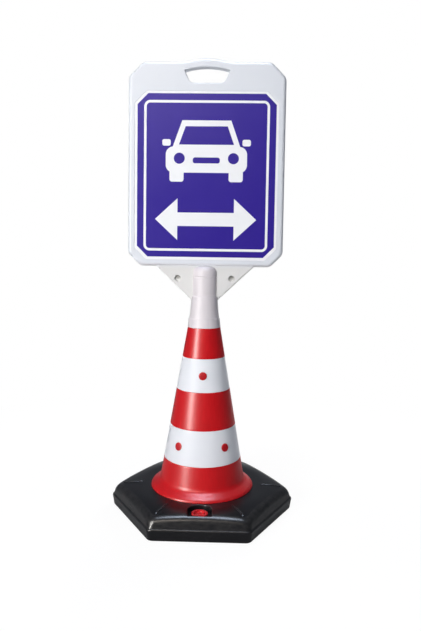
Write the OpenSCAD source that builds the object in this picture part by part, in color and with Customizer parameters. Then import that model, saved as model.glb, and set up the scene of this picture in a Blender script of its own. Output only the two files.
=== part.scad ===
// Cone sign: a hollow road cone on a ballasted hexagonal base, with a blow-moulded
// sign panel that slips over the tip of the cone. Millimetres, +Z up, front toward -Y.

/* [Base] */
// Width across the flats on the floor
base_flats = 500; // [460:2:540]
// Height of the plinth
plinth_height = 34; // [26:1:40]
// How far each side of the plinth leans out at its top
plinth_draft = 5; // [1:0.5:8]
// Width of the ledge on top of the plinth
ledge_width = 3; // [2:0.5:5]
// Rounding of the plinth edges
plinth_round = 2; // [1:0.5:2]
// Lean of the sides above the ledge, in degrees
side_lean = 22.5; // [16:0.5:26]
// Height of the flat seat under the cone
deck_height = 75; // [70:1:84]
// Width of the flat seat beyond the flange
seat_margin = 30; // [24:1:36]
// Radius of the arc in which the deck falls away from the seat
deck_radius = 216; // [190:2:260]
// Radius of the upright corners
base_corner_radius = 12; // [8:1:24]
// Wall of the tank
tank_wall = 4; // [2.5:0.5:5]
// Diameter of the throat that holds the cone
throat_diameter = 274; // [266:1:280]
// Height of the throat lip
throat_lip_height = 12; // [8:0.5:16]
// Undercut behind the throat lip
throat_undercut = 6; // [5:0.5:9]
// Width of the hub opening on the floor, as a share of the width across the flats
hub_mouth_share = 0.7; // [0.68:0.01:0.74]
// Width of a deck rib
rib_width = 7; // [4:0.5:10]
// Height of a deck rib above the deck
rib_height = 2.6; // [1:0.2:4]
// Distance from the flange to the inner end of a rib
rib_gap = 31; // [20:1:40]
// Distance from the corner of the floor to the outer end of a rib
rib_inset = 26.6; // [24:0.2:50]

/* [Filler] */
// Place of the filler, as a share of the way from the flange to the edge of the floor
filler_share = 0.4775; // [0.44:0.0025:0.49]
// Width of the pocket
pocket_width = 68; // [60:1:70]
// Depth of the pocket below the seat
pocket_depth = 16; // [14:1:20]
// Gap between the plug head and the front of the pocket
pocket_front_gap = 2.5; // [1:0.5:3.5]
// Depth below the seat of the dip in the side in front of the pocket
pocket_notch_depth = 11; // [9:0.5:14]
// Bore of the filler neck
neck_bore = 35.6; // [28:0.2:38]
// Wall of the filler neck
neck_wall = 3.5; // [2.5:0.5:4.5]
// Length of the neck below the pocket floor
neck_length = 16; // [12:1:18]
// Diameter of the plug head
plug_head_diameter = 52; // [48:1:55]
// Thickness of the plug head
plug_head_height = 6; // [5.5:0.5:8]
// Rounding of the plug head
plug_head_round = 1.6; // [0.6:0.2:2.4]
// Diameter of the recess in the plug head
plug_recess_diameter = 34; // [28:1:40]
// Depth of the recess in the plug head
plug_recess_depth = 4; // [3:0.5:4.5]
// Width of the grip bar in the recess
plug_bar_width = 8; // [5:0.5:12]
// Length of the plug shank below the gasket
plug_shank_length = 13; // [9:1:15]
// Wall of the hollow shank
plug_shank_wall = 3; // [2:0.5:5]
// Thickness of the gasket
gasket_thickness = 2; // [1.5:0.5:3]
// Outer diameter of the gasket
gasket_diameter = 47; // [43:1:50]
// Depth of the sand above the tank floor
sand_depth = 20; // [14:1:30]

/* [Cone] */
// Height of the tip above the floor
cone_height = 753; // [700:1:770]
// Diameter of the tip
cone_tip_diameter = 47; // [42:1:52]
// Height above the deck at which the flare begins
flare_height = 52; // [44:1:64]
// Diameter where the flare begins
cone_foot_diameter = 260; // [252:1:264]
// Wall of the cone
cone_wall = 3; // [2:0.5:4]
// Reach of the flange beyond the throat
flange_reach = 27; // [21:0.5:28]
// Height of the rounded rim of the flange
flange_rim_height = 8; // [6:0.5:12]
// Rounding of the flange rim
flange_round = 3; // [1:0.5:3]
// Bore of the open tip
tip_bore = 30; // [20:1:34]
// Thickness of the rim around the tip bore
tip_rim = 4; // [3:0.5:6]
// Depth of the recess that the sleeve of the sign sits in
sleeve_recess = 2; // [1:0.2:2.4]
// Number of snap tongues
tongue_count = 6; // [4:1:9]
// Width of one snap tongue
tongue_width = 56; // [36:2:70]
// Reach of the hook on a tongue
hook_reach = 3.6; // [2.4:0.2:4.4]
// Height of the hook on a tongue
hook_height = 9; // [6:0.5:11]
// Width of the slot beside a tongue
tongue_slot = 4; // [3:0.5:6]

/* [Bands] */
// Lower edge of the lower band, as a share of the height of the taper
lower_band_start_share = 0.0671; // [0.045:0.0001:0.09]
// Upper edge of the lower band, as a share of the height of the taper
lower_band_end_share = 0.2396; // [0.21:0.0001:0.27]
// Lower edge of the upper band, as a share of the height of the taper
upper_band_start_share = 0.4209; // [0.4:0.0001:0.44]
// Upper edge of the upper band, as a share of the height of the taper
upper_band_end_share = 0.5855; // [0.56:0.0001:0.61]
// Depth of the recess for a band
band_recess = 1.2; // [0.8:0.1:1.6]
// Thickness of a band
band_thickness = 0.9; // [0.6:0.1:1.4]
// Angle of the lower buttons from the front and rear, in degrees
lower_button_angle = 39; // [25:1:60]
// Diameter of a button head
button_head_diameter = 25; // [18:1:30]
// Height of a button head
button_head_height = 3.4; // [2:0.2:5]
// Diameter of a button shank
button_shank_diameter = 8; // [6:0.5:10]
// Barb on a button shank, beyond the shank
button_barb = 1.6; // [1:0.2:2.4]
// Length of the barb
button_barb_length = 5; // [3:0.5:7]

/* [Sign] */
// Width of the panel
panel_width = 488; // [470:2:520]
// Height of the panel without its crown
panel_height = 630; // [616:2:660]
// Thickness of the panel
panel_thickness = 32; // [26:1:40]
// Corner cut at the top
panel_top_cut = 46; // [30:1:50]
// Corner cut at the bottom
panel_bottom_cut = 40; // [30:1:50]
// Rounding of the panel corners
panel_corner_radius = 14; // [10:1:20]
// Rounding of the panel edges
panel_edge_radius = 8; // [5:0.5:9]
// Draft of the panel edges from the parting line
panel_draft = 1; // [0:0.5:2]
// Width of the crown over the hand hole
crown_width = 140; // [120:2:160]
// Height of the crown
crown_height = 11; // [6:1:14]
// Wall of the sign shell
sign_wall = 3; // [2:0.5:4]
// Width of the hand hole at its top
handle_width = 150; // [130:1:156]
// Width of the hand hole at its bottom
handle_foot_width = 110; // [92:1:118]
// Height of the hand hole
handle_height = 56; // [50:1:60]
// Rise of the arched top of the hand hole
handle_arch = 12; // [6:1:16]
// Rounding of the hand hole corners
handle_corner_radius = 12; // [9:1:16]
// Rounded flare of the hand hole toward each face
handle_flare = 4; // [3:0.5:6]
// Material above the hand hole, to the top of the crown
handle_bar = 24; // [22:1:27]
// Reach of the fin beyond its dimples
fin_shoulder = 69; // [58:1:80]
// Height of the fin under the panel
fin_height = 114; // [104:1:118]
// Width of the foot of the fin, inside the sleeve
fin_foot_width = 74; // [60:1:76]
// Thickness of the fin
fin_thickness = 20; // [16:1:24]
// Rounding of the fin edges
fin_edge_radius = 5; // [3:0.5:6]
// Diameter of a dimple in a face of the fin
dimple_diameter = 21; // [14:1:24]
// How far the wall of a dimple leans in on its way to the floor
dimple_lean = 3.5; // [2:0.5:5]
// Distance between the two dimples of a face
dimple_spacing = 170; // [150:2:180]
// Distance of the dimples below the panel
dimple_drop = 38; // [34:1:44]
// Length of the cone that the sleeve covers
sleeve_grip = 167; // [158:1:174]
// Gap between the tip of the cone and the panel's lower edge
panel_gap = 25; // [22:1:46]
// Wall of the sleeve
sleeve_wall = 2.2; // [1.8:0.1:3]
// Height of the collar at the sleeve mouth
lip_height = 29; // [20:1:32]
// Step at the top of the collar
lip_step = 1; // [0.4:0.2:1.6]
// Height of the close-fitting seat inside the sleeve
sleeve_seat = 40; // [34:1:50]
// Height of the tapered skirt of the sleeve
sleeve_skirt = 96; // [84:1:100]
// Step between the skirt and the upper part of the sleeve
sleeve_step = 2.4; // [1:0.2:3.2]
// Room between the cone and the sleeve above the skirt
sleeve_room = 2.8; // [1.4:0.1:4]
// Height of the domed top of the sleeve
sleeve_dome = 24; // [18:1:30]
// Distance of the top of the sleeve below the panel
dome_drop = 7; // [4:0.5:10]

/* [Print sheets] */
// Distance from the side of the panel to the sheet
sheet_side_margin = 22; // [16:0.5:30]
// Distance from the top of the panel to the sheet
sheet_top_margin = 91; // [84:0.5:120]
// Corner cut of a sheet
sheet_cut = 36; // [28:1:46]
// Thickness of a sheet
sheet_thickness = 1; // [0.5:0.1:1.4]
// Depth of the recess for a sheet
sheet_recess = 1.5; // [1:0.1:2]
// Distance from the panel's lower edge to the sheet
sheet_margin = 21; // [16:0.5:26]

/* [Clearances] */
// Between pieces that move on each other
running_gap = 0.3; // [0.2:0.05:0.5]
// Between a pushed-in piece and its hole
push_gap = 0.3; // [0.1:0.05:0.5]
// Around the edge of a band or sheet in its recess
edge_gap = 0.8; // [0.4:0.1:1.5]
// Between the sand and the tank walls
sand_gap = 0.6; // [0.4:0.1:1]

/* [Hidden] */
overrun = 2;
least_round = 0.5;
fine = 128;
medium = 64;
coarse = 32;
edge_steps = 3;
corner_steps = 3;
flare_steps = 8;
dome_steps = 8;
arch_steps = 6;
flare_power = 1.4;
flare_apex_share = 0.27;
skirt_lean_share = 1.3;
crown_top_share = 0.33;
corner_limit_share = 0.5;
head_rim_share = 0.5;
dome_power = 2 / 3;

base_reach = base_flats;
floor_apothem = base_flats / 2;
hub_mouth_radius = floor_apothem * hub_mouth_share;
plinth_apothem = floor_apothem + plinth_draft;
throat_radius = throat_diameter / 2;
lip_underside = deck_height - throat_lip_height;
flange_radius = throat_radius + flange_reach;
seat_radius = flange_radius + seat_margin;
rib_start = flange_radius + rib_gap;
rib_end = floor_apothem / cos(30) - rib_inset;
filler_offset = flange_radius + (floor_apothem - flange_radius) * filler_share;
pocket_floor_height = deck_height - pocket_depth;
pocket_notch_height = deck_height - pocket_notch_depth;
pocket_radius = pocket_width / 2;
plug_seat_height = pocket_floor_height + gasket_thickness;
neck_radius = neck_bore / 2;
plug_radius = neck_radius - running_gap;
flare_start = deck_height + flare_height;
rim_top = deck_height + flange_rim_height;
cone_slope = (cone_foot_diameter - cone_tip_diameter) / 2 / (cone_height - flare_start);
cone_tilt = atan(cone_slope);
spigot_radius = throat_radius - running_gap;
hook_top = lip_underside - running_gap;
spigot_foot = hook_top - hook_height;
taper_height = cone_height - flare_start;
lower_band_start = flare_start + taper_height * lower_band_start_share;
lower_band_end = flare_start + taper_height * lower_band_end_share;
upper_band_start = flare_start + taper_height * upper_band_start_share;
upper_band_end = flare_start + taper_height * upper_band_end_share;
sleeve_start = cone_height - sleeve_grip;
panel_start = cone_height + panel_gap;
panel_half = panel_thickness / 2;
panel_top = panel_start + panel_height;
fin_width = dimple_spacing + 2 * fin_shoulder;
hand_top = panel_top + crown_height - handle_bar;
hand_foot = hand_top - handle_height;
sheet_start = panel_start + sheet_margin;
sheet_width = panel_width - 2 * sheet_side_margin;
sheet_height = panel_height - sheet_margin - sheet_top_margin;
seat_end = sleeve_start + sleeve_seat;
skirt_end = sleeve_start + sleeve_skirt;
dome_start = panel_start - dome_drop - sleeve_dome;
sleeve_top_radius = stub_radius(skirt_end) + sleeve_wall + sleeve_room;
shoulder = sleeve_start - running_gap;

// radius of the straight taper of the cone at a height
function cone_radius(z) = cone_tip_diameter / 2 + (cone_height - z) * cone_slope;

// radius of the stub above the shoulder, where the sleeve sits
function stub_radius(z) = cone_radius(z) - sleeve_recess;

// radius of the flared foot: the taper, plus a reach that fades out up to the start of the flare
function flare_radius(z) = cone_radius(z)
    + (flange_radius - cone_radius(rim_top)) * pow((flare_start - z) / (flare_start - rim_top), flare_power);

function unit(v) = v / norm(v);
function outward(v) = [v[1], -v[0]];
function wrap(points, i) = points[(i + len(points)) % len(points)];

// an outline with each side moved outward by a distance, or inward where it is negative
function moved(points, d) = [for (i = [0 : len(points) - 1])
    let (p = points[i], m = outward(unit(p - wrap(points, i - 1))), n = outward(unit(wrap(points, i + 1) - p)))
    p + d * (m + n) / (1 + m * n)];

// an outline with each corner eased by a curve that touches both sides
function eased(points, radii, steps) = [for (i = [0 : len(points) - 1])
    let (p = points[i], a = wrap(points, i - 1) - p, b = wrap(points, i + 1) - p,
        reach = min(radii[i] / tan(acos(unit(a) * unit(b)) / 2), corner_limit_share * min(norm(a), norm(b))),
        start = p + reach * unit(a), end = p + reach * unit(b))
    for (j = [0 : steps]) let (s = j / steps)
        start * pow(1 - s, 2) + p * 2 * s * (1 - s) + end * pow(s, 2)];

// an upright ring across Y: the outline moved in by d, with its corners eased
function upright_ring(points, radii, y, d) =
    [for (q = eased(moved(points, -d), [for (r = radii) max(r - d, least_round)], corner_steps)) [q[0], y, q[1]]];

// rings of a slab whose edges are rounded and drafted from a parting line at mid thickness
function slab_rings(points, radii, half, edge, draft) =
    let (curve = [for (k = [edge_steps : -1 : 0]) let (a = 90 * k / edge_steps)
        [half - edge + edge * sin(a), draft + edge * (1 - cos(a))]])
    concat([for (c = curve) upright_ring(points, radii, -c[0], c[1])],
        [upright_ring(points, radii, 0, 0)],
        [for (k = [len(curve) - 1 : -1 : 0]) upright_ring(points, radii, curve[k][0], curve[k][1])]);

// rings of a hole whose edges are rounded toward both faces
function hole_rings(points, radii, half, edge, grow) =
    let (curve = [for (k = [0 : edge_steps]) let (a = 90 * k / edge_steps)
        [half - edge * (1 - cos(a)), edge * sin(a) - grow]])
    concat([upright_ring(points, radii, -half - overrun, -grow)],
        [for (c = curve) upright_ring(points, radii, -c[0], c[1])],
        [for (k = [edge_steps : -1 : 0]) upright_ring(points, radii, curve[k][0], curve[k][1])],
        [upright_ring(points, radii, half + overrun, -grow)]);

// a hexagon with round corners, at a height
function hex_ring(apothem, corner, z) = [for (k = [0 : 5], j = [0 : edge_steps + 1])
    let (c = (apothem - corner) / cos(30), t = 60 * k - 30 + 60 * j / (edge_steps + 1))
    [c * cos(60 * k) + corner * cos(t), c * sin(60 * k) + corner * sin(t), z]];

// a closed solid through rings of equal length
module loft(rings) {
    n = len(rings[0]);
    m = len(rings);
    polyhedron(points = [for (r = rings) each r],
        faces = concat([[for (j = [n - 1 : -1 : 0]) j]],
            [for (i = [0 : m - 2], j = [0 : n - 1]) let (k = (j + 1) % n) each
                [[i * n + j, i * n + k, (i + 1) * n + k], [i * n + j, (i + 1) * n + k, (i + 1) * n + j]]],
            [[for (j = [0 : n - 1]) (m - 1) * n + j]]));
}

// the sides of the tank, from above the deck down to the floor, as apothem and height
function side_profile(inset) =
    let (top = deck_height + overrun, lean = tan(side_lean), step = plinth_apothem - ledge_width)
    inset > 0 ? [
        [step - (top - plinth_height) * lean - inset / cos(side_lean), top],
        [step + inset * lean - inset / cos(side_lean), plinth_height - inset],
        [plinth_apothem - inset, plinth_height - inset],
        [floor_apothem - inset, inset]]
    : [
        [step - (top - plinth_height) * lean, top],
        [step, plinth_height],
        [plinth_apothem - plinth_round, plinth_height],
        [plinth_apothem, plinth_height - plinth_round],
        [floor_apothem, plinth_round],
        [floor_apothem - plinth_round, 0]];

module tank_sides(inset) {
    loft([for (p = side_profile(inset)) hex_ring(p[0], max(base_corner_radius - inset, least_round), p[1])]);
}

// everything under the domed deck, lowered by an inset or raised by a negative one
module under_deck(inset) {
    rotate_extrude($fn = fine) {
        square([seat_radius, deck_height - inset]);
        intersection() {
            translate([seat_radius, deck_height - deck_radius]) circle(r = deck_radius - inset, $fn = fine);
            translate([seat_radius, 0]) square([base_reach - seat_radius, deck_height - inset]);
        }
    }
}

// the opening for the cone: a throat with an undercut lip over a hub that widens to the floor
module hub_opening() {
    rotate_extrude($fn = fine) polygon([[0, -overrun], [hub_mouth_radius, -overrun], [hub_mouth_radius, 0],
        [throat_radius + throat_undercut, lip_underside], [throat_radius, lip_underside],
        [throat_radius, deck_height + overrun], [0, deck_height + overrun]]);
}

// the hub with a wall around it
module hub_core(wall) {
    rotate_extrude($fn = fine) polygon([[0, -overrun], [hub_mouth_radius + wall, -overrun],
        [hub_mouth_radius + wall, 0], [throat_radius + throat_undercut + wall, lip_underside],
        [throat_radius + throat_undercut + wall, deck_height + overrun], [0, deck_height + overrun]]);
}

// the filler pocket: round at the back, straight toward the front
module pocket(grow) {
    front = plug_head_diameter / 2 + pocket_front_gap + grow;
    half = pocket_radius + grow;
    translate([0, -filler_offset, pocket_floor_height - grow]) linear_extrude(deck_height) intersection() {
        union() {
            circle(r = half, $fn = medium);
            translate([-half, -front]) square([2 * half, front]);
        }
        translate([-half, -front]) square([2 * half, front + half]);
    }
}

// the dip in the side in front of the pocket
module pocket_notch() {
    translate([-pocket_radius, -base_reach / 2, pocket_notch_height])
        cube([pocket_width, base_reach / 2 - filler_offset, deck_height]);
}

module deck_rib() {
    intersection() {
        translate([0, 0, plinth_height]) linear_extrude(deck_height) {
            translate([rib_start, -rib_width / 2]) square([rib_end - rib_start, rib_width]);
            translate([rib_start, 0]) circle(d = rib_width, $fn = coarse);
            translate([rib_end, 0]) circle(d = rib_width, $fn = coarse);
        }
        under_deck(-rib_height);
    }
}

module base_tank() {
    color([0.055, 0.055, 0.06]) difference() {
        union() {
            difference() {
                union() {
                    intersection() {
                        tank_sides(0);
                        under_deck(0);
                    }
                    for (k = [0 : 5]) rotate(60 * k) deck_rib();
                }
                difference() {
                    intersection() {
                        tank_sides(tank_wall);
                        under_deck(tank_wall);
                    }
                    hub_core(tank_wall);
                    pocket(tank_wall);
                }
                pocket(0);
                pocket_notch();
            }
            translate([0, -filler_offset, pocket_floor_height - neck_length])
                cylinder(r = neck_radius + neck_wall, h = neck_length, $fn = medium);
        }
        translate([0, -filler_offset, pocket_floor_height - neck_length - overrun])
            cylinder(r = neck_radius, h = neck_length + 2 * overrun, $fn = medium);
        hub_opening();
    }
}

module sand_ballast() {
    color([0.76, 0.66, 0.46]) translate([0, 0, -sand_gap]) difference() {
        intersection() {
            tank_sides(tank_wall + sand_gap);
            cylinder(r = base_reach, h = tank_wall + sand_depth + sand_gap, $fn = medium);
        }
        hub_core(tank_wall + sand_gap);
    }
}

module filler_plug() {
    head = plug_head_diameter / 2;
    bowl = plug_recess_diameter / 2;
    foot = gasket_thickness + plug_shank_length;
    color([0.78, 0.05, 0.07]) translate([0, -filler_offset, plug_seat_height]) {
        rotate_extrude($fn = medium) polygon([[0, 0],
            [plug_radius - plug_shank_wall, 0], [plug_radius - plug_shank_wall, -foot], [plug_radius, -foot], [plug_radius, 0],
            [head, 0], [head, plug_head_height - plug_head_round], [head - plug_head_round, plug_head_height],
            [bowl, plug_head_height], [bowl, plug_head_height - plug_recess_depth],
            [0, plug_head_height - plug_recess_depth]]);
        intersection() {
            translate([-bowl, -plug_bar_width / 2, 0]) cube([plug_recess_diameter, plug_bar_width, plug_head_height]);
            cylinder(r = bowl + plug_head_round, h = plug_head_height, $fn = medium);
        }
    }
}

module plug_gasket() {
    color([0.04, 0.04, 0.04]) translate([0, -filler_offset, pocket_floor_height]) difference() {
        cylinder(d = gasket_diameter, h = gasket_thickness, $fn = medium);
        translate([0, 0, -overrun])
            cylinder(r = neck_radius + running_gap, h = gasket_thickness + 2 * overrun, $fn = medium);
    }
}

// the recess for a band, as points up the outside of the cone
function band_step(low, high) = [[cone_radius(low), low], [cone_radius(low) - band_recess, low],
    [cone_radius(high) - band_recess, high], [cone_radius(high), high]];

module cone_wall_profile() {
    foot_radius = cone_radius(flare_start);
    apex = flare_start - flare_height * flare_apex_share;
    inner_foot = spigot_radius - cone_wall;
    apex_radius = inner_foot + (foot_radius - cone_wall - inner_foot) * (apex - deck_height) / flare_height + cone_wall;
    flare = [for (k = [0 : flare_steps]) let (z = rim_top + (flare_start - rim_top) * k / flare_steps)
        [flare_radius(z), z]];
    under = [for (k = [flare_steps : -1 : 0]) let (z = rim_top + (apex - rim_top) * k / flare_steps)
        [flare_radius(z) - cone_wall * skirt_lean_share, z]];
    difference() {
        polygon(concat([[0, spigot_foot], [spigot_radius, spigot_foot], [spigot_radius, deck_height],
            [flange_radius - flange_round, deck_height], [flange_radius, deck_height + flange_round]],
            flare, band_step(lower_band_start, lower_band_end), band_step(upper_band_start, upper_band_end),
            [[cone_radius(shoulder), shoulder], [stub_radius(shoulder), shoulder],
            [stub_radius(cone_height - tip_rim), cone_height - tip_rim],
            [stub_radius(cone_height) - tip_rim / 2, cone_height], [0, cone_height]]));
        polygon([[0, spigot_foot - overrun], [inner_foot, spigot_foot - overrun], [inner_foot, deck_height],
            [foot_radius - cone_wall, flare_start],
            [cone_radius(shoulder - 3 * cone_wall) - cone_wall, shoulder - 3 * cone_wall],
            [stub_radius(shoulder - cone_wall) - cone_wall, shoulder - cone_wall],
            [stub_radius(cone_height - tip_rim) - cone_wall, cone_height - tip_rim],
            [tip_bore / 2, cone_height - tip_rim], [tip_bore / 2, cone_height + overrun], [0, cone_height + overrun]]);
        polygon(concat([[spigot_radius, deck_height - overrun], [spigot_radius, deck_height], [apex_radius, apex]],
            under, [[flange_radius - cone_wall * skirt_lean_share, deck_height - overrun]]));
    }
}

module tongue_hook() {
    root = spigot_radius - cone_wall / 2;
    foot = spigot_foot + hook_reach / 2;
    intersection() {
        rotate_extrude($fn = fine) polygon([[root, foot], [spigot_radius, foot],
            [spigot_radius + hook_reach, hook_top - hook_reach], [spigot_radius + hook_reach, hook_top], [root, hook_top]]);
        translate([0, -tongue_width / 2, spigot_foot]) cube([throat_diameter, tongue_width, hook_height]);
    }
}

module tongue_slots() {
    for (side = [-1, 1]) translate([0, side * (tongue_width + tongue_slot) / 2 - tongue_slot / 2, spigot_foot - overrun])
        cube([throat_diameter, tongue_slot, deck_height - cone_wall - spigot_foot + overrun]);
}

// puts a child on the cone, at an angle from the front, square to the face of a band
module on_band(low, high, angle) {
    z = (low + high) / 2;
    rotate(angle - 90) translate([cone_radius(z) - band_recess + band_thickness, 0, z]) rotate([0, 90 - cone_tilt, 0])
        children();
}

lower_angles = [-lower_button_angle, lower_button_angle, 180 - lower_button_angle, 180 + lower_button_angle];
upper_angles = [0, 180];
hole_depth = 2 * cone_wall + band_thickness;

module button_holes(low, high, angles) {
    for (a = angles) on_band(low, high, a) translate([0, 0, -hole_depth])
        cylinder(r = button_shank_diameter / 2 + push_gap, h = hole_depth + overrun, $fn = coarse);
}

module cone_body() {
    color([0.78, 0.035, 0.045]) difference() {
        union() {
            rotate_extrude($fn = fine) cone_wall_profile();
            for (k = [0 : tongue_count - 1]) rotate(360 / tongue_count * k) tongue_hook();
        }
        for (k = [0 : tongue_count - 1]) rotate(360 / tongue_count * k) tongue_slots();
        button_holes(lower_band_start, lower_band_end, lower_angles);
        button_holes(upper_band_start, upper_band_end, upper_angles);
    }
}

module band(low, high, angles) {
    foot = low + edge_gap;
    top = high - edge_gap;
    color([0.95, 0.95, 0.96]) difference() {
        rotate_extrude($fn = fine) polygon([[cone_radius(foot) - band_recess, foot],
            [cone_radius(foot) - band_recess + band_thickness, foot],
            [cone_radius(top) - band_recess + band_thickness, top], [cone_radius(top) - band_recess, top]]);
        button_holes(low, high, angles);
    }
}

// a push-in button: a domed head whose underside follows the band, and a barbed shank
module button(low, high, angle) {
    head = button_head_diameter / 2;
    shank = button_shank_diameter / 2;
    through = band_thickness + cone_wall - band_recess + push_gap;
    skin = band_thickness - band_recess;
    difference() {
        on_band(low, high, angle) rotate_extrude($fn = medium) polygon(concat([[0, -band_thickness], [head, -band_thickness]],
            [for (k = [0 : dome_steps]) let (a = 90 * k / dome_steps)
                [head * cos(a), button_head_height * head_rim_share * (1 + sin(a))]]));
        rotate_extrude($fn = fine) polygon([[0, low], [cone_radius(low) + skin, low], [cone_radius(high) + skin, high], [0, high]]);
    }
    on_band(low, high, angle) rotate_extrude($fn = coarse) polygon([[0, button_head_height * head_rim_share],
        [shank, button_head_height * head_rim_share], [shank, -through], [shank + button_barb, -through],
        [shank - button_barb, -through - button_barb_length], [0, -through - button_barb_length]]);
}

module lower_band() { band(lower_band_start, lower_band_end, lower_angles); }
module upper_band() { band(upper_band_start, upper_band_end, upper_angles); }

module lower_band_buttons() {
    color([0.8, 0.06, 0.06]) for (a = lower_angles) button(lower_band_start, lower_band_end, a);
}
module upper_band_buttons() {
    color([0.8, 0.06, 0.06]) for (a = upper_angles) button(upper_band_start, upper_band_end, a);
}

// outline of the panel, anticlockwise from the lower left corner, with the radius of each corner
function panel_outline() = let (w = panel_width / 2, c = crown_width / 2, t = crown_width * crown_top_share / 2) [
    [-w + panel_bottom_cut, panel_start], [w - panel_bottom_cut, panel_start], [w, panel_start + panel_bottom_cut],
    [w, panel_top - panel_top_cut], [w - panel_top_cut, panel_top], [c, panel_top], [t, panel_top + crown_height],
    [-t, panel_top + crown_height], [-c, panel_top], [-w + panel_top_cut, panel_top],
    [-w, panel_top - panel_top_cut], [-w, panel_start + panel_bottom_cut]];
crown_round = crown_width;
panel_radii = [for (i = [0 : 11]) i >= 5 && i <= 8 ? crown_round : panel_corner_radius];

function hand_outline() = let (w = handle_width / 2, f = handle_foot_width / 2, corner = hand_top - handle_arch)
    concat([[-f, hand_foot], [f, hand_foot], [w, corner]],
        [for (k = [1 : arch_steps - 1]) let (s = 1 - 2 * k / arch_steps) [w * s, hand_top - handle_arch * pow(s, 2)]],
        [[-w, corner]]);
hand_radii = [for (i = [0 : arch_steps + 2]) handle_corner_radius];

fin_top = panel_start + 2 * panel_edge_radius;
function fin_outline() = let (w = fin_width / 2, f = fin_foot_width / 2, foot = panel_start - fin_height) [
    [-f, foot], [f, foot], [w, panel_start], [w, fin_top], [-w, fin_top], [-w, panel_start]];
fin_radii = [for (i = [0 : 5]) fin_edge_radius];

function octagon(w, low, high, cut) = [[-w + cut, low], [w - cut, low], [w, low + cut], [w, high - cut],
    [w - cut, high], [-w + cut, high], [-w, high - cut], [-w, low + cut]];

module sheet_form(grow, thickness) {
    translate([0, sheet_recess - panel_half, 0]) rotate([90, 0, 0]) linear_extrude(thickness)
        polygon(moved(octagon(sheet_width / 2, sheet_start, sheet_start + sheet_height, sheet_cut), grow));
}

module panel_form(inset) {
    half = inset > 0 ? panel_half - inset - sheet_recess : panel_half;
    loft(slab_rings(moved(panel_outline(), -inset), [for (r = panel_radii) max(r - inset, panel_edge_radius + panel_draft)],
        half, panel_edge_radius - inset, panel_draft));
}

module fin_form(inset) {
    loft(slab_rings(moved(fin_outline(), -inset), [for (r = fin_radii) fin_edge_radius], fin_thickness / 2 - inset,
        max(fin_edge_radius - inset, least_round), 0));
}

// two dimples in each face of the fin, where the front and rear walls meet in a web
module dimples(grow, web) {
    rim = dimple_diameter / 2 + grow;
    half = fin_thickness / 2;
    for (side = [-1, 1], turn = [-90, 90])
        translate([side * dimple_spacing / 2, 0, panel_start - dimple_drop]) rotate([turn, 0, 0])
            rotate_extrude($fn = medium) polygon([[0, web], [rim - dimple_lean, web], [rim, half], [rim, half + overrun],
                [0, half + overrun]]);
}

// the sleeve: a collar at the mouth, a seat that follows the cone, a skirt, a plain upper part and a dome
module sleeve_form(inset) {
    lip_end = sleeve_start + lip_height;
    fit = running_gap + sleeve_wall;
    mouth = stub_radius(sleeve_start) + fit;
    top = sleeve_top_radius - inset;
    rotate_extrude($fn = fine) polygon(concat(
        inset > 0 ? [[0, sleeve_start - overrun], [stub_radius(sleeve_start - overrun) + running_gap, sleeve_start - overrun]]
            : [[0, sleeve_start], [mouth - least_round, sleeve_start], [mouth, sleeve_start + least_round],
                [stub_radius(lip_end) + fit + lip_step, lip_end - lip_step], [stub_radius(lip_end) + fit, lip_end]],
        [[stub_radius(seat_end) + fit - inset, seat_end], [sleeve_top_radius + sleeve_step - inset, skirt_end],
            [top, skirt_end + 2 * sleeve_step]],
        [for (k = [0 : dome_steps]) let (a = 90 * k / dome_steps)
            [top * pow(cos(a), dome_power), dome_start + (sleeve_dome - inset) * pow(sin(a), dome_power)]]));
}

module sign_shell() {
    color([0.93, 0.94, 0.96]) difference() {
        union() {
            panel_form(0);
            fin_form(0);
            sleeve_form(0);
        }
        difference() {
            panel_form(sign_wall);
            loft(hole_rings(hand_outline(), hand_radii, panel_half, handle_flare, sign_wall));
        }
        difference() {
            fin_form(sign_wall);
            dimples(sign_wall, 0);
        }
        sleeve_form(sleeve_wall);
        loft(hole_rings(hand_outline(), hand_radii, panel_half, handle_flare, 0));
        dimples(0, sign_wall);
        sheet_form(edge_gap, sheet_recess + overrun);
        rotate(180) sheet_form(edge_gap, sheet_recess + overrun);
    }
}

module front_print_sheet() { color([0.055, 0.03, 0.32]) sheet_form(0, sheet_thickness); }
module rear_print_sheet() { color([0.055, 0.03, 0.32]) rotate(180) sheet_form(0, sheet_thickness); }

base_tank();
sand_ballast();
filler_plug();
plug_gasket();
cone_body();
lower_band();
upper_band();
lower_band_buttons();
upper_band_buttons();
sign_shell();
front_print_sheet();
rear_print_sheet();
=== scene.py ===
import math
import bmesh
import bpy
import numpy as np
from mathutils import Matrix, Vector
from mathutils.geometry import tessellate_polygon


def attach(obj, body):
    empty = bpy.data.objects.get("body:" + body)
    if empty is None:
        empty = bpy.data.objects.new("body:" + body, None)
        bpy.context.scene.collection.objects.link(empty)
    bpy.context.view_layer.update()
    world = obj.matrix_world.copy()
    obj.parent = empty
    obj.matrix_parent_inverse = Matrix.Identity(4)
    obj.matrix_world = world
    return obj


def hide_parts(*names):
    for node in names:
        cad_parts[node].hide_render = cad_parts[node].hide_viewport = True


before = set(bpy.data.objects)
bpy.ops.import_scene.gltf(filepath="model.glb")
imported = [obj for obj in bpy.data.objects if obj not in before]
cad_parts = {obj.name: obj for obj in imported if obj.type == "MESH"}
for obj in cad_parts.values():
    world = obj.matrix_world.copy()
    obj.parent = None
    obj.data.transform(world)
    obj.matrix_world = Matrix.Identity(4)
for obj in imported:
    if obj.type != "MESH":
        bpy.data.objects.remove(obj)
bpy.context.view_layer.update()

# sizes are in millimetres and angles in degrees, apart from the studio, whose sizes are in metres
mm = 0.001
scene = bpy.context.scene
scene.view_settings.view_transform = "Standard"
print("frame loaded:", ", ".join(sorted(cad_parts)))


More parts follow.
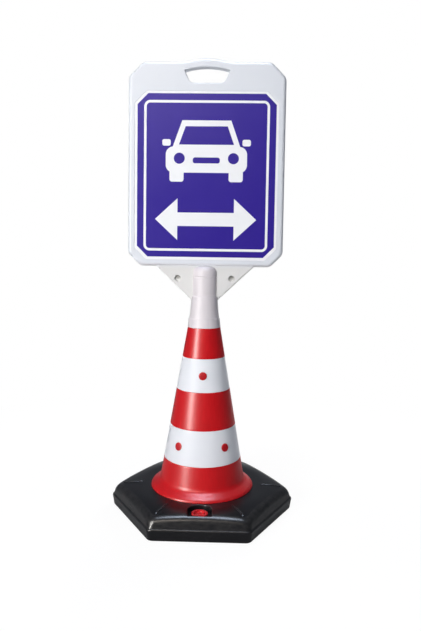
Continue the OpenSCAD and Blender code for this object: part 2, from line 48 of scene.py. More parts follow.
# a dictionary whose values are also read as settings.name
class Settings(dict):
    __getattr__ = dict.__getitem__


# a shader value: + - * / ** between wires and numbers add Math nodes
class Wire:
    def __init__(self, tree, socket):
        self.tree, self.socket = tree, socket

    def math(self, operation, *others):
        return self.tree.node("Math", {"operation": operation}, dict(enumerate((self,) + others)))

    def __add__(self, other):
        return self.math("ADD", other)

    def __sub__(self, other):
        return self.math("SUBTRACT", other)

    def __rsub__(self, other):
        return (self * -1.0) + other

    def __mul__(self, other):
        return self.math("MULTIPLY", other)

    def __truediv__(self, other):
        return self.math("DIVIDE", other)

    def __rtruediv__(self, other):
        return self ** -1.0 * other

    def __pow__(self, other):
        return self.math("POWER", other)

    def __abs__(self):
        return self.math("ABSOLUTE")

    __radd__, __rmul__ = __add__, __mul__

    def least(self, other):
        return self.math("MINIMUM", other)

    def most(self, other):
        return self.math("MAXIMUM", other)

    # 0 below low, 1 above high, eased between them
    def step(self, low, high):
        return self.tree.node("MapRange", {"interpolation_type": "SMOOTHSTEP"},
                              {"Value": self, "From Min": low, "From Max": high})


# the nodes of a material or of the world
class Tree:
    def __init__(self, graph):
        self.graph = graph

    # any shader node: its type, its settings, what goes into its sockets, and which output is wanted
    def node(self, kind, settings=None, inputs=None, output=0):
        made = self.graph.nodes.new("ShaderNode" + kind)
        for key, value in (settings or {}).items():
            setattr(made, key, value)
        for key, value in (inputs or {}).items():
            self.put(made.inputs[key], value)
        return Wire(self, made.outputs[output])

    def put(self, socket, value):
        if isinstance(value, Wire):
            self.graph.links.new(value.socket, socket)
        else:
            socket.default_value = value

    def mix(self, amount, first, second):
        return self.node("Mix", {"data_type": "RGBA"}, {0: amount, 6: first, 7: second}, 2)

    # 1 where a ray is of one of the named kinds
    def ray(self, *kinds):
        flags = [self.node("LightPath", output="Is " + kind + " Ray") for kind in kinds]
        return flags[0] if len(flags) == 1 else flags[0].most(flags[1])


# one material; the plain values given by name go straight to the shader's sockets
class Finish(Tree):
    def __init__(self, name, **plain):
        self.material = bpy.data.materials.new(name)
        self.material.use_nodes = True
        super().__init__(self.material.node_tree)
        self.shader = self.graph.nodes["Principled BSDF"]
        self.set(**plain)
        where = self.node("TexCoord", output="Object")
        self.spot = self.node("VectorMath", {"operation": "SCALE"}, {0: where, "Scale": 1 / mm})

    def set(self, **sockets):
        for socket, value in sockets.items():
            self.put(self.shader.inputs[socket.replace("_", " ")], value)

    # the named ones of x, y and z of the piece, in millimetres
    def place(self, axes):
        return [self.node("SeparateXYZ", None, {0: self.spot}, axis) for axis in axes]

    def scaled(self, size, stretch=(1, 1, 1)):
        return self.node("VectorMath", {"operation": "MULTIPLY"},
                         {0: self.spot, 1: tuple(1 / (size * s) for s in stretch)})

    # noise from 0 to 1; size is the width of one spot, stretch scales the pattern along x, y, z
    def noise(self, size, detail=3.0, stretch=(1, 1, 1)):
        return self.node("TexNoise", None, {"Vector": self.scaled(size, stretch), "Scale": 1.0,
                                            "Detail": detail, "Roughness": 0.55})

    # colour, roughness, and a bump of the given depth
    def coat(self, colour, rough, height, depth, strength):
        bump = self.node("Bump", None, {"Height": height, "Distance": depth * mm, "Strength": strength})
        self.set(Base_Color=colour, Roughness=rough, Normal=bump)
        return self

    # how much each point of the piece is rubbed, and on the sign how much painted shade a dimple wall gets
    def wear(self):
        return self.node("Attribute", {"attribute_name": "wear"}, None, "Fac")


# colour written as on a screen, turned into the linear values that shaders use
def tint(red, green, blue):
    c = np.array([red, green, blue]) / 255
    c = np.where(c <= 0.04045, c / 12.92, ((c + 0.055) / 1.055) ** 2.4)
    return (*c.tolist(), 1.0)


# gathers rows of points and the faces between them, in millimetres; each row is a closed loop
class Shell:
    weld, sliver = 1e-6, 1e-7       # in metres: closer points become one, shorter edges go

    def __init__(self):
        self.points, self.faces, self.count, self.marks = [], [], 0, []

    # points with their mark: wear, and on the sign painted shade; gives the grid of their numbers
    def add(self, points, mark=0.0):
        points = np.asarray(points, float)
        flat = points.reshape(-1, 3)
        index = self.count + np.arange(len(flat)).reshape(points.shape[:-1])
        self.points.append(flat)
        self.marks.append(np.broadcast_to(np.asarray(mark, float), points.shape[:-1]).reshape(-1))
        self.count += len(flat)
        return index

    # quads between neighbours of a grid; a ring also joins the last row to the first
    def weave(self, index, ring=False, keep=None):
        down = np.roll(index, -1, 0)
        quads = np.stack([index, np.roll(index, -1, 1), np.roll(down, -1, 1), down], -1)
        rows = len(index) if ring else len(index) - 1
        quads = quads[:rows].reshape(-1, 4) if keep is None else quads[:rows][keep[:rows]]
        self.faces += quads.tolist()

    def surface(self, points, ring=False, mark=0.0):
        index = self.add(points, mark)
        self.weave(index, ring)
        return index

    # rows that are sections of a bar, with a face over each end
    def bar(self, points, mark=0.0):
        index = self.surface(points, False, mark)
        self.faces += [index[0].tolist(), index[-1][::-1].tolist()]

    # a flat face inside the first loop, with holes at the other loops
    def fill(self, *loops):
        points = np.concatenate(self.points)
        flat = np.ptp(points[loops[0]], axis=0).argmin()
        axes = [a for a in range(3) if a != flat]
        rows = [[Vector((*p, 0.0)) for p in points[loop][:, axes].tolist()] for loop in loops]
        order = np.concatenate(loops)
        self.faces += order[np.array(tessellate_polygon(rows))].tolist()

    def piece(self, name, finish, body, nodes, slot, sharp=35):
        mesh = bpy.data.meshes.new(name)
        mesh.from_pydata((np.concatenate(self.points) * mm).tolist(), [], self.faces)
        wear = mesh.attributes.new("wear", "FLOAT", "POINT")
        wear.data.foreach_set("value", np.concatenate(self.marks).astype(np.float32))
        work = bmesh.new()
        work.from_mesh(mesh)
        bmesh.ops.remove_doubles(work, verts=work.verts, dist=self.weld)
        bmesh.ops.dissolve_degenerate(work, edges=work.edges, dist=self.sliver)
        bmesh.ops.recalc_face_normals(work, faces=work.faces)
        work.to_mesh(mesh)
        work.free()
        mesh.shade_smooth()
        mesh.set_sharp_from_angle(angle=math.radians(sharp))
        mesh.materials.append(finish.material)
        made = bpy.data.objects.new(name, mesh)
        scene.collection.objects.link(made)
        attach(made, body)
        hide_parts(*nodes)
        print("piece", name, len(mesh.polygons), "faces")


# a curve over three knots, from the first towards the middle one and round to the last, s from 0 to 1:
# first (1-s)^2 + middle 2s(1-s) + last s^2
def bend(s, knots):
    first, middle, last = knots
    return first * (1 - s) ** 2 + middle * 2 * s * (1 - s) + last * s ** 2


nearHalf, samePoint = 0.49, 1e-6


# each corner of a row of points becomes a curve that leaves its two sides at the given distance, or at
# nearly half of the shorter side where that is less
def eased(points, reach, steps=6, closed=False):
    p = np.asarray(points, float)
    reach = np.broadcast_to(np.asarray(reach, float), len(p)).copy()
    if not closed:
        reach[[0, -1]] = 0
    back, ahead = np.roll(p, 1, 0) - p, np.roll(p, -1, 0) - p
    lengthBack, lengthAhead = np.linalg.norm(back, axis=1), np.linalg.norm(ahead, axis=1)
    reach = np.minimum(reach, nearHalf * np.minimum(lengthBack, lengthAhead))
    start = p + back * (reach / lengthBack)[:, None]
    end = p + ahead * (reach / lengthAhead)[:, None]
    s = np.linspace(0, 1, steps + 1)[None, :, None]
    curve = bend(s, (start[:, None], p[:, None], end[:, None])).reshape(-1, p.shape[1])
    apart = np.linalg.norm(curve - np.roll(curve, 1, 0), axis=1) > samePoint
    apart[0] = apart[0] or not closed
    return curve[apart]


# outward normals of a closed anticlockwise outline: the way across each point, turned by a right angle
def normals(outline):
    along = np.roll(outline, -1, 0) - np.roll(outline, 1, 0)
    along /= np.linalg.norm(along, axis=1)[:, None]
    return np.stack([along[:, 1], -along[:, 0]], 1)


# evenly spaced angles of a full turn
def circle(count):
    return np.linspace(0, 2 * np.pi, count, endpoint=False)


# a profile of radius and height carried round the z axis: (r cos a, r sin a, z)
def turned(profile, angles):
    r, z = np.asarray(profile, float).T
    return np.stack([r[:, None] * np.cos(angles), r[:, None] * np.sin(angles),
                     np.broadcast_to(z[:, None], (len(r), len(angles)))], -1)


# 0 below low, 1 above high, 3t^2 - 2t^3 between them
def ramp(value, low, high):
    t = np.clip((value - low) / (high - low), 0, 1)
    return t * t * (3 - 2 * t)


# a round swelling: height times e to the power of minus the square of (value - middle) / width
def swell(value, height, middle, width):
    return height * np.exp(-((value - middle) / width) ** 2)


turn = circle(192)

# camera, room and floor of the photograph, in metres; lens, sensor and the two spans are in mm
studio = Settings(
    away=1.89708, height=0.83762, yaw=1.5, pitchDown=4.26, roll=0.8,
    lens=34.16, sensor=36, shift=(0.0094, -0.037),
    white=(1, 1, 1, 1), ambient=0.15, ambientColour=(0.88, 0.97, 1.15, 1),
    backdrop=Settings(sideways=(0.93, 0.97), upwards=(0.05, 0.25)),
    floorHalf=14.0, floorDrop=0.0005, floorGrey=0.5,
    glowNear=0.8, glow=1.16, glowSpan=(500, 1500), mirrorSpan=(2500, 5000),
)

# soft boxes: place, width and height, watts, colour, and whether they make highlights or else light and shade
lampAim = (0, 0, 0.7)
lamps = {
    "key": ((-1.95, -3.3, 1.3), (1.2, 1.2), 110, (1, 1, 1), False),
    "strip": ((-1.95, -1.95, 1.05), (0.4, 1.9), 180, (1, 0.97, 0.93), True),
    "sky": ((0, -0.35, 2.75), (1.2, 1.0), 98, (0.72, 0.83, 1), True),
    "low": ((-0.8, -3.2, 2.5), (1.8, 0.6), 50, (1, 0.88, 0.76), True),
    "top": ((0, -0.6, 5.0), (2.0, 2.0), 52, (0.95, 0.97, 1), False),
    "back": ((1.2, 2.6, 1.4), (1.4, 1.6), 50, (1, 1, 1), False),
}


def stand(name, data, matrix=None):
    made = bpy.data.objects.new(name, data)
    if matrix is not None:
        made.matrix_world = matrix
    scene.collection.objects.link(made)
    return made


def makeCamera(s):
    lens = bpy.data.cameras.new("photoCamera")
    lens.sensor_fit, lens.sensor_width, lens.lens = "AUTO", s.sensor, s.lens
    lens.shift_x, lens.shift_y = s.shift
    yaw = math.radians(s.yaw)
    eye = Vector((s.away * math.sin(yaw), -s.away * math.cos(yaw), s.height))
    scene.camera = stand("photoCamera", lens, Matrix.Translation(eye) @ Matrix.Rotation(yaw, 4, "Z")
                         @ Matrix.Rotation(math.radians(90 - s.pitchDown), 4, "X")
                         @ Matrix.Rotation(math.radians(s.roll), 4, "Z"))


def makeLamps(lamps, aim):
    for name, (at, size, watts, colour, gloss) in lamps.items():
        lamp = bpy.data.lights.new(name + "Light", "AREA")
        lamp.shape = "RECTANGLE"
        lamp.size, lamp.size_y = size
        lamp.energy, lamp.color = watts, colour
        faced = (Vector(at) - Vector(aim)).to_track_quat("Z", "Y").to_matrix().to_4x4()
        made = stand(name + "Light", lamp, Matrix.Translation(at) @ faced)
        made.visible_glossy, made.visible_diffuse = gloss, not gloss


# a white room that lights the object at a lower level than it shows itself; mirror-like faces see its white
# backdrop, which stands behind the object and reaches some way up
def makeWorld(s):
    level, backdrop = s.ambient, s.backdrop
    world = bpy.data.worlds.new("paleRoom")
    scene.world = world
    world.use_nodes = True
    tree = Tree(world.node_tree)
    way = tree.node("TexCoord", output="Generated")
    y, z = [tree.node("SeparateXYZ", None, {0: way}, axis) for axis in "YZ"]
    wall = y.step(*backdrop.sideways) * (1.0 - z.step(*backdrop.upwards))
    white = tree.ray("Camera").most(tree.ray("Glossy", "Transmission") * wall)
    back = world.node_tree.nodes["Background"]
    tree.put(back.inputs["Color"], tree.mix(white, s.ambientColour, s.white))
    tree.put(back.inputs["Strength"], level + white * (1 - level))


# a pale floor that takes the shadow near the object and melts into the white room farther out
def makeFloor(s):
    grey, near, glow = s.floorGrey, s.glowNear, s.glow
    f = Finish("paleFloor", Roughness=0.9, Specular_IOR_Level=0.0, Base_Color=(grey, grey, grey, 1))
    x, y = f.place("XY")
    away = (x * x + y * y) ** 0.5
    far = away.step(*s.glowSpan)
    behind = (y / away).step(*s.backdrop.sideways) * away.step(*s.mirrorSpan)
    light = f.node("Emission", None, {"Color": s.white, "Strength": glow - far * (glow - 1)})
    shown = near + far * (1 - near)
    amount = (f.ray("Camera") * shown).most(f.ray("Glossy", "Transmission") * behind)
    blend = f.node("MixShader", None, {0: amount, 1: Wire(f, f.shader.outputs[0]), 2: light})
    f.put(f.graph.nodes["Material Output"].inputs["Surface"], blend)
    edge = s.floorHalf * np.array([[-1, -1], [1, -1], [1, 1], [-1, 1]])
    mesh = bpy.data.meshes.new("floor")
    mesh.from_pydata(np.column_stack([edge, np.full(4, -s.floorDrop)]).tolist(), [], [(0, 1, 2, 3)])
    mesh.materials.append(f.material)
    stand("floor", mesh)


makeCamera(studio)
makeLamps(lamps, lampAim)
makeWorld(studio)
makeFloor(studio)
print("studio ready")


# black moulded plastic: fine grain, a breath of dust on top, paler rubbed edges
def blackTankFinish():
    dark, pale, dusty, rubbed = tint(18, 18, 20), tint(25, 24, 27), tint(110, 107, 102), tint(84, 82, 80)
    f = Finish("blackTank", Specular_IOR_Level=0.3)
    grain = f.noise(1.1, detail=2.0)
    cloud = f.noise(70, detail=4.0)
    dust = f.noise(9, detail=5.0).step(0.52, 0.78) * cloud.step(0.42, 0.7)
    wear = f.wear() * f.noise(16, stretch=(1, 1, 0.6)).step(0.2, 0.8)
    colour = f.mix(dust * 0.09, f.mix(cloud, dark, pale), dusty)
    height = grain * 0.6 + f.noise(6, detail=2.0) * 0.4
    rough = 0.24 + cloud * 0.06 + dust * 0.12 + grain * 0.04
    return f.coat(f.mix(wear * 0.35, colour, rubbed), rough, height, depth=0.12, strength=0.5)


# glossy red plastic of the cone: flow streaks up the taper, a mould seam on each side
def coneRedFinish():
    deep, bright, cloudy, rubbed = tint(206, 10, 19), tint(213, 13, 23), tint(192, 8, 18), tint(240, 120, 112)
    seamEdge, seamFoot = (0.25, 1.1), (85, 93)
    f = Finish("coneRed", Specular_IOR_Level=0.34)
    y, z = f.place("YZ")
    streak = f.noise(5, stretch=(1, 1, 40))
    broad = f.noise(60, stretch=(1, 1, 3))
    speck = f.noise(1.6, detail=2.0)
    wear = f.wear() * f.noise(12, detail=4.0).step(0.45, 0.75)
    seam = (1.0 - abs(y).step(*seamEdge)) * z.step(*seamFoot)
    colour = f.mix(streak.step(0.3, 0.7), deep, bright)
    colour = f.mix(broad.step(0.35, 0.75) * 0.35, colour, cloudy)
    return f.coat(f.mix(wear * 0.35, colour, rubbed), 0.28 + streak * 0.08 + broad * 0.06,
                  seam + streak * 0.25 + speck * 0.05, depth=0.3, strength=0.5)


# white reflective sheeting: a faint net of sealed cells under a smooth film
def bandWhiteFinish():
    film, netting, cloudy = tint(243, 244, 248), tint(205, 210, 220), tint(226, 229, 236)
    middlingRadius = 100.0
    f = Finish("bandWhite", Specular_IOR_Level=0.08, Sheen_Weight=0.5, Sheen_Roughness=0.6)
    x, y, z = f.place("XYZ")
    flat = f.node("CombineXYZ", None, {0: y.math("ARCTAN2", x) * middlingRadius, 1: z, 2: 0.0})
    cells = f.node("TexVoronoi", {"feature": "DISTANCE_TO_EDGE"},
                   {"Vector": flat, "Scale": 0.24, "Randomness": 0.12}, "Distance")
    net = 1.0 - cells.step(0.02, 0.1)
    cloud = f.noise(50)
    colour = f.mix(cloud.step(0.5, 0.8) * 0.12, f.mix(net * 0.1, film, netting), cloudy)
    return f.coat(colour, 0.3 + cloud * 0.1 + net * 0.08, 1.0 - net, depth=0.05, strength=0.35)


# red plastic of a push-in button or the filler plug
def smallRedFinish(name, first, second):
    rubbed = tint(240, 130, 120)
    f = Finish(name, Specular_IOR_Level=0.22)
    cloud = f.noise(7)
    wear = f.wear() * f.noise(3).step(0.4, 0.7)
    colour = f.mix(wear * 0.4, f.mix(cloud, first, second), rubbed)
    return f.coat(colour, 0.3 + cloud * 0.16, f.noise(0.9, detail=2.0), depth=0.05, strength=0.4)


# white blow-moulded plastic, cool on the panel and warmer on fin and sleeve: slight orange peel, soft
# scuffs, flow lines up the sleeve and painted shade in the dimples
def signWhiteFinish():
    # fin and sleeve are warmer and pinker than the panel: partly painted bounce light from the red cone,
    # partly grime on the fin
    panelCool, panelPale, fin = tint(228, 231, 238), tint(233, 235, 239), tint(232, 230, 227)
    sleevePale, sleeveFlow = tint(231, 223, 225), tint(226, 218, 221)
    scuffed, paintedShadeGrey = tint(200, 201, 206), tint(118, 116, 106)
    panelFoot, finSide = (768, 792), (9.5, 14)
    f = Finish("signWhite", Specular_IOR_Level=0.25)
    y, z = f.place("YZ")
    cloud = f.noise(90)
    flow = f.noise(9, stretch=(1, 1, 30)).step(0.35, 0.7)
    scuff = f.noise(14, detail=5.0, stretch=(3, 1, 0.5)).step(0.6, 0.8) * cloud.step(0.45, 0.7)
    panel = f.mix(cloud, panelCool, panelPale)
    below = f.mix(abs(y).step(*finSide), fin, f.mix(flow, sleevePale, sleeveFlow))
    colour = f.mix(1.0 - z.step(*panelFoot), panel, below)
    colour = f.mix(scuff * 0.18, colour, scuffed)
    # painted shade: the marked dimple walls turn towards a dark grey
    colour = f.mix(f.wear() * (0.6 + cloud * 0.5), colour, paintedShadeGrey)
    peel = f.noise(2.6, detail=2.0)
    return f.coat(colour, 0.38 + cloud * 0.1 + scuff * 0.15, peel, depth=0.12, strength=0.35)


# printed sheet, as heights and half widths; a box of the car or the arrow has its middle sideways and
# upwards, its half width, half height and corner radius; cabin and pane have a half width, the height where
# it is measured, a low and a high end
sheetPrint = Settings(
    field=(807.5, 1310.4), fieldHalf=214.6, fieldCut=33.5, cutCosine=0.7071, softness=0.35,
    line=(826.0, 1289.7), lineHalf=194.0, lineRadius=19, lineWidth=7.7,
    carFoot=1043, body=(0, 66, 126, 40, 24), wheel=(92, 20, 22, 22, 8), mirror=(124, 118, 13, 10, 6),
    grille=(0, 64, 42, 9, 7), lampAt=(84, 70), lampRadius=17,
    cabin=(108, 96, 90, 186), pane=(86, 110, 112, 168), lean=0.36, leanCosine=0.94,
    arrowAt=925, shaft=(0, 0, 96, 21, 2), tip=158, barb=88, tipSlope=1.08, tipCosine=0.68,
)


# how far x, z lie outside a box with round corners: length of the outer part plus the inner part, less
# the radius
def boxGap(x, z, midX, midZ, halfX, halfZ, radius):
    a = abs(x - midX) - (halfX - radius)
    b = abs(z - midZ) - (halfZ - radius)
    outer = (a.most(0.0) ** 2.0 + b.most(0.0) ** 2.0) ** 0.5
    return outer + a.most(b).least(0.0) - radius


# white edge, blue field with cut corners, a white line, a car over a two-way arrow
def printFinish(p):
    blueDeep, blueBright = tint(47, 29, 143), tint(53, 34, 149)
    paperCool, paperPale, scratched = tint(250, 250, 252), tint(254, 254, 255), tint(220, 220, 226)
    f = Finish("printBlue", Specular_IOR_Level=0.2)
    x, z = f.place("XZ")
    side, foot, arrow = abs(x), p.carFoot, p.arrowAt

    def inside(gap):
        return 1.0 - gap.step(-p.softness, p.softness)

    def box(over, sideways, upwards, *shape):
        return inside(boxGap(side, z, sideways, over + upwards, *shape))

    def leaning(half, at, low, high):
        narrowed = half - (z - (foot + at)) * p.lean
        slant = (side - narrowed) * p.leanCosine
        return inside(slant.most(z - (foot + high)).most((foot + low) - z))

    # middle and half of a low and a high end
    def halved(low, high):
        return (low + high) / 2, (high - low) / 2

    middle, half = halved(*p.field)
    up = abs(z - middle)
    cut = (side + up - (p.fieldHalf + half - p.fieldCut)) * p.cutCosine
    field = inside((side - p.fieldHalf).most(up - half).most(cut))
    middle, half = halved(*p.line)
    ring = boxGap(side, z, 0.0, middle, p.lineHalf, half, p.lineRadius)
    line = inside(ring) * (1.0 - inside(ring + p.lineWidth))

    car = box(foot, *p.body).most(leaning(*p.cabin)).most(box(foot, *p.wheel)).most(box(foot, *p.mirror))
    lampX, lampZ = p.lampAt
    lamp = inside(((side - lampX) ** 2.0 + (z - (foot + lampZ)) ** 2.0) ** 0.5 - p.lampRadius)
    car = car * (1.0 - leaning(*p.pane)) * (1.0 - lamp) * (1.0 - box(foot, *p.grille))
    tip = (side + abs(z - arrow) * p.tipSlope - p.tip) * p.tipCosine
    white = car.most(box(arrow, *p.shaft)).most(inside(tip.most(p.barb - side))).most(line)

    cloud = f.noise(60)
    scratch = f.noise(4, stretch=(14, 1, 0.5)).step(0.7, 0.8)
    paper, blue = f.mix(cloud, paperCool, paperPale), f.mix(cloud, blueDeep, blueBright)
    ink = f.mix(field * (1.0 - white), paper, blue)
    return f.coat(f.mix(scratch * 0.06, ink, scratched), 0.3 + cloud * 0.08 + scratch * 0.15,
                  f.noise(1.4, detail=2.0), depth=0.03, strength=0.35)


def gasketFinish():
    f = Finish("gasketRubber", Specular_IOR_Level=0.3)
    cloud = f.noise(4, detail=4.0)
    colour = f.mix(cloud, tint(22, 22, 22), tint(34, 33, 33))
    return f.coat(colour, 0.62 + cloud * 0.2, f.noise(0.5, detail=2.0), depth=0.06, strength=0.5)


def sandFinish():
    brown, yellow, damp = tint(178, 152, 108), tint(216, 194, 150), tint(150, 124, 86)
    f = Finish("ballastSand", Specular_IOR_Level=0.25)
    grain = f.node("TexVoronoi", None, {"Vector": f.scaled(0.9), "Scale": 1.0}, "Distance")
    cloud = f.noise(30, detail=4.0)
    colour = f.mix(cloud.step(0.4, 0.75) * 0.4, f.mix(grain, brown, yellow), damp)
    return f.coat(colour, 0.9 - grain * 0.1, grain + cloud, depth=0.5, strength=0.8)


black = blackTankFinish()
red = coneRedFinish()
bandWhite = bandWhiteFinish()
buttonRed = smallRedFinish("buttonRed", tint(182, 14, 24), tint(194, 20, 30))
plugRed = smallRedFinish("plugRed", tint(204, 26, 36), tint(220, 38, 44))
signWhite = signWhiteFinish()
printed = printFinish(sheetPrint)
rubber = gasketFinish()
sand = sandFinish()
print("finishes ready")

# black ballast tank; softSpan, sideFoot, shoulderLead and shoulderMeet are heights over the plinth's top
base = Settings(
    floorApothem=250.0, floorInset=5.0, floorRound=2.2, plinthApothem=255.0, plinthTop=34.0,
    ledge=3.5, lean=math.tan(math.radians(12)), corner=20.0, softCorner=32.0, softSpan=(-8, 22),
    sideFoot=5.0, ridgeFloor=40.0, ridgeRound=19.0, ridgeFall=0.9,
    shoulderAt=(247.81, 30.46), shoulderRound=6.5, shoulderFrom=57.0, plinthLean=-8.37,
    shoulderLead=4.6, shoulderMeet=2.6, meetRound=1.0,
    deckTop=75.0, deckRadius=285.0, seatRadius=194.0, hiddenRow=150.0, seenFrom=160.5,
    ribStart=195.0, ribEnd=252.0, ribWidth=7.0, ribFade=0.4, ribHeight=2.3, ribPower=0.6,
    throat=137.0, undercut=143.0, lipFoot=63.0, hubMouth=175.0, mouthEdge=1.5,
    hubRounds=(0, 1.4, 0.8, 0.8, 0),
    fillerAt=-205.065, fillerWay=270, blockHalf=12.1, blockShare=0.7, pocketHalf=36.0, pocketFront=28.5,
    pocketPower=14, pocketFloor=59.0, pocketDraft=0.5, pocketRound=1.6, rim=2.0,
    neckBore=17.8, neckFoot=43.0, neckRound=0.8, neckMiddle=0.25,
    wear=Settings(ribs=0.4, ridge=0.8, sides=0.6, ledge=0.5, ledgeRows=12, rim=0.7, rimRows=4),
)


# directions of the base's columns: close together at the corners, and beside the filler on the front side
def baseColumns(sides=6, front=4):
    share = 360 / sides
    first, last = np.linspace(0, 5, 31), np.linspace(55, 60, 31)[:-1]
    plain = np.linspace(5.5, 54.5, 44)
    filler = np.concatenate([np.linspace(5.5, 17, 12), np.linspace(18, 42, 73), np.linspace(43, 54.5, 12)])
    runs = [np.concatenate([first, filler if k == front else plain, last]) + share * k for k in range(sides)]
    return np.radians(np.concatenate(runs))


# distance from the axis to a hexagon with round corners: the flat side at apothem / cos t,
# or the corner circle where the way lies within it
def hexRadius(angle, apothem, corner):
    t = np.mod(angle, np.pi / 3) - np.pi / 6
    s = np.pi / 6 - np.abs(t)
    centre = (apothem - corner) / np.cos(np.pi / 6)
    limit = np.arctan2(corner / 2, centre + corner * np.cos(np.pi / 6))
    onCircle = centre * np.cos(s) + np.sqrt(np.maximum(corner ** 2 - (centre * np.sin(s)) ** 2, 0))
    return np.where(s < limit, onCircle, apothem / np.cos(t))


# the leaning side at a height: a hexagon that shrinks upwards, and whose corners grow rounder
def sideRadius(angle, z, b):
    low, high = b.softSpan
    corner = b.corner + (b.softCorner - b.corner) * ramp(z, b.plinthTop + low, b.plinthTop + high)
    return hexRadius(angle, b.plinthApothem - b.ledge - (z - b.plinthTop) * b.lean, corner)


# height of the bare deck: the seat, then an arc falling away
def deckArc(r, b):
    out = np.clip(r - b.seatRadius, 0, b.deckRadius - 1)
    return b.deckTop - b.deckRadius + np.sqrt(b.deckRadius ** 2 - out ** 2)


# the deck with its ribs: height times (1 - gap^2) to a power, where gap is the distance to the
# rib's middle line as a share of its half width
def deckHeight(x, y, b):
    nearest = np.round(np.arctan2(y, x) / (np.pi / 3)) * np.pi / 3
    along = x * np.cos(nearest) + y * np.sin(nearest)
    across = -x * np.sin(nearest) + y * np.cos(nearest)
    beyond = np.maximum(np.maximum(b.ribStart - along, along - b.ribEnd), 0)
    gap = np.hypot(beyond, across) / (b.ribWidth / 2 + b.ribFade)
    return deckArc(np.hypot(x, y), b) + b.ribHeight * np.clip(1 - gap ** 2, 0, 1) ** b.ribPower


def deckAlong(angle, r, b):
    return deckHeight(r * np.cos(angle), r * np.sin(angle), b)


# the ridge, where the deck meets the leaning side, is found by halving; a curve over three knots, each
# a radius and a height, rounds it
def ridgeKnots(angle, b):
    low, high = np.full_like(angle, b.ridgeFloor), np.full_like(angle, b.deckTop)
    for _ in range(40):
        middle = (low + high) / 2
        above = deckAlong(angle, sideRadius(angle, middle, b), b) > middle
        low, high = np.where(above, middle, low), np.where(above, high, middle)
    meet = sideRadius(angle, low, b)
    start, end = meet - b.ridgeRound, low - b.ridgeRound * b.ridgeFall
    return np.array([[start, deckAlong(angle, start, b)], [meet, low], [sideRadius(angle, end, b), end]])


# height of deck and ridge at any place: the curve's s comes from its radius by the root of a square
def topHeight(x, y, angle, ridge, b):
    a, r = np.mod(np.arctan2(y, x), 2 * np.pi), np.hypot(x, y)
    first, meet, last = [[np.interp(a, angle, v) for v in knot] for knot in ridge]
    rise, swing = meet[0] - first[0], first[0] - 2 * meet[0] + last[0]
    root = np.sqrt(np.maximum(rise ** 2 + swing * (r - first[0]), 0))
    s = np.clip((r - first[0]) / (rise + root), 0, 1)
    return np.where(r < first[0], deckHeight(x, y, b), bend(s, (first[1], meet[1], last[1])))


# profile of the plinth as apothem and height: an arc that starts at the leaning side and runs into the
# plinth's side, then the edge on the floor
def plinthLine(b):
    step, lean, top = b.plinthApothem - b.ledge, b.lean, b.plinthTop
    a = np.radians(np.linspace(b.shoulderFrom, b.plinthLean, 12))[:, None]
    shoulder = b.shoulderAt + b.shoulderRound * np.concatenate([np.cos(a), np.sin(a)], 1)
    side = [(step - up * lean, top + up) for up in (b.shoulderLead, b.shoulderMeet)]
    floor = [(b.floorApothem, 0.0), (b.floorApothem - b.floorInset, 0.0)]
    rounds = [0, b.meetRound] + [0] * len(shoulder) + [b.floorRound, 0]
    return eased([*side, *shoulder, *floor], rounds, 5)[1:]


# outline of the filler pocket from its middle, by direction: a half circle behind, and a box with
# soft corners in front, (across / wide)^n + (ahead / deep)^n = 1
def pocketReach(angle, grow, b):
    across, ahead, power = np.abs(np.cos(angle)), np.abs(np.sin(angle)), b.pocketPower
    wide, deep = b.pocketHalf + grow, b.pocketFront + grow
    front = ((across / wide) ** power + (ahead / deep) ** power) ** (-1 / power)
    return np.where(np.sin(angle) >= 0, wide, front)


# rows from a loop on the deck to the pocket's rim, then over the rim, down the wall, across the floor and
# into the neck, and how worn they are; each point lies on a ray from the pocket's middle
def pocketRows(outer, angle, ridge, b):
    middle = np.array([0.0, b.fillerAt])
    way = np.arctan2(outer[:, 1] - middle[1], outer[:, 0] - middle[0])
    floor, draft, fillet, bore = b.pocketFloor, b.pocketDraft, b.pocketRound, b.neckBore
    rows = []

    def onRay(reach):
        return middle + np.stack([reach * np.cos(way), reach * np.sin(way)], -1)

    def add(place, height):
        rows.append(np.column_stack([place, np.broadcast_to(height, way.shape)]))

    def addAt(grow, height):
        add(onRay(pocketReach(way, grow, b)), height)

    rim = onRay(pocketReach(way, b.rim, b))
    for s in np.linspace(0, 1, 7)[1:]:
        place = outer[:, :2] * (1 - s) + rim * s
        add(place, topHeight(place[:, 0], place[:, 1], angle, ridge, b))
    onDeck, top = len(rows), rows[-1][:, 2]
    for a in np.radians([18, 36, 54, 72, 90]):
        addAt(b.rim * (1 - np.sin(a)), top - b.rim * (1 - np.cos(a)))
    wallTop = rows[-1][:, 2]
    for part in (0.5, 1.0):
        addAt(-draft * part, wallTop + (floor + fillet - wallTop) * part)
    for a in np.radians([30, 60, 90]):
        addAt(-draft - fillet * (1 - np.cos(a)), floor + fillet * (1 - np.sin(a)))
    for part in (0.35, 0.75):
        reach = pocketReach(way, -draft - fillet, b) * (1 - part) + (bore + b.neckRound) * part
        add(onRay(reach), floor)
    lip = ((b.neckRound, 0.0), (b.neckMiddle, b.neckMiddle), (0.0, b.neckRound))
    for grow, drop in lip:
        add(onRay(np.full_like(way, bore + grow)), floor - drop)
    for reach in (bore, 0.0):
        add(onRay(np.full_like(way, reach)), b.neckFoot)
    mark = np.zeros((len(rows), len(way)))
    mark[onDeck:onDeck + b.wear.rimRows] = b.wear.rim
    return np.stack(rows), mark


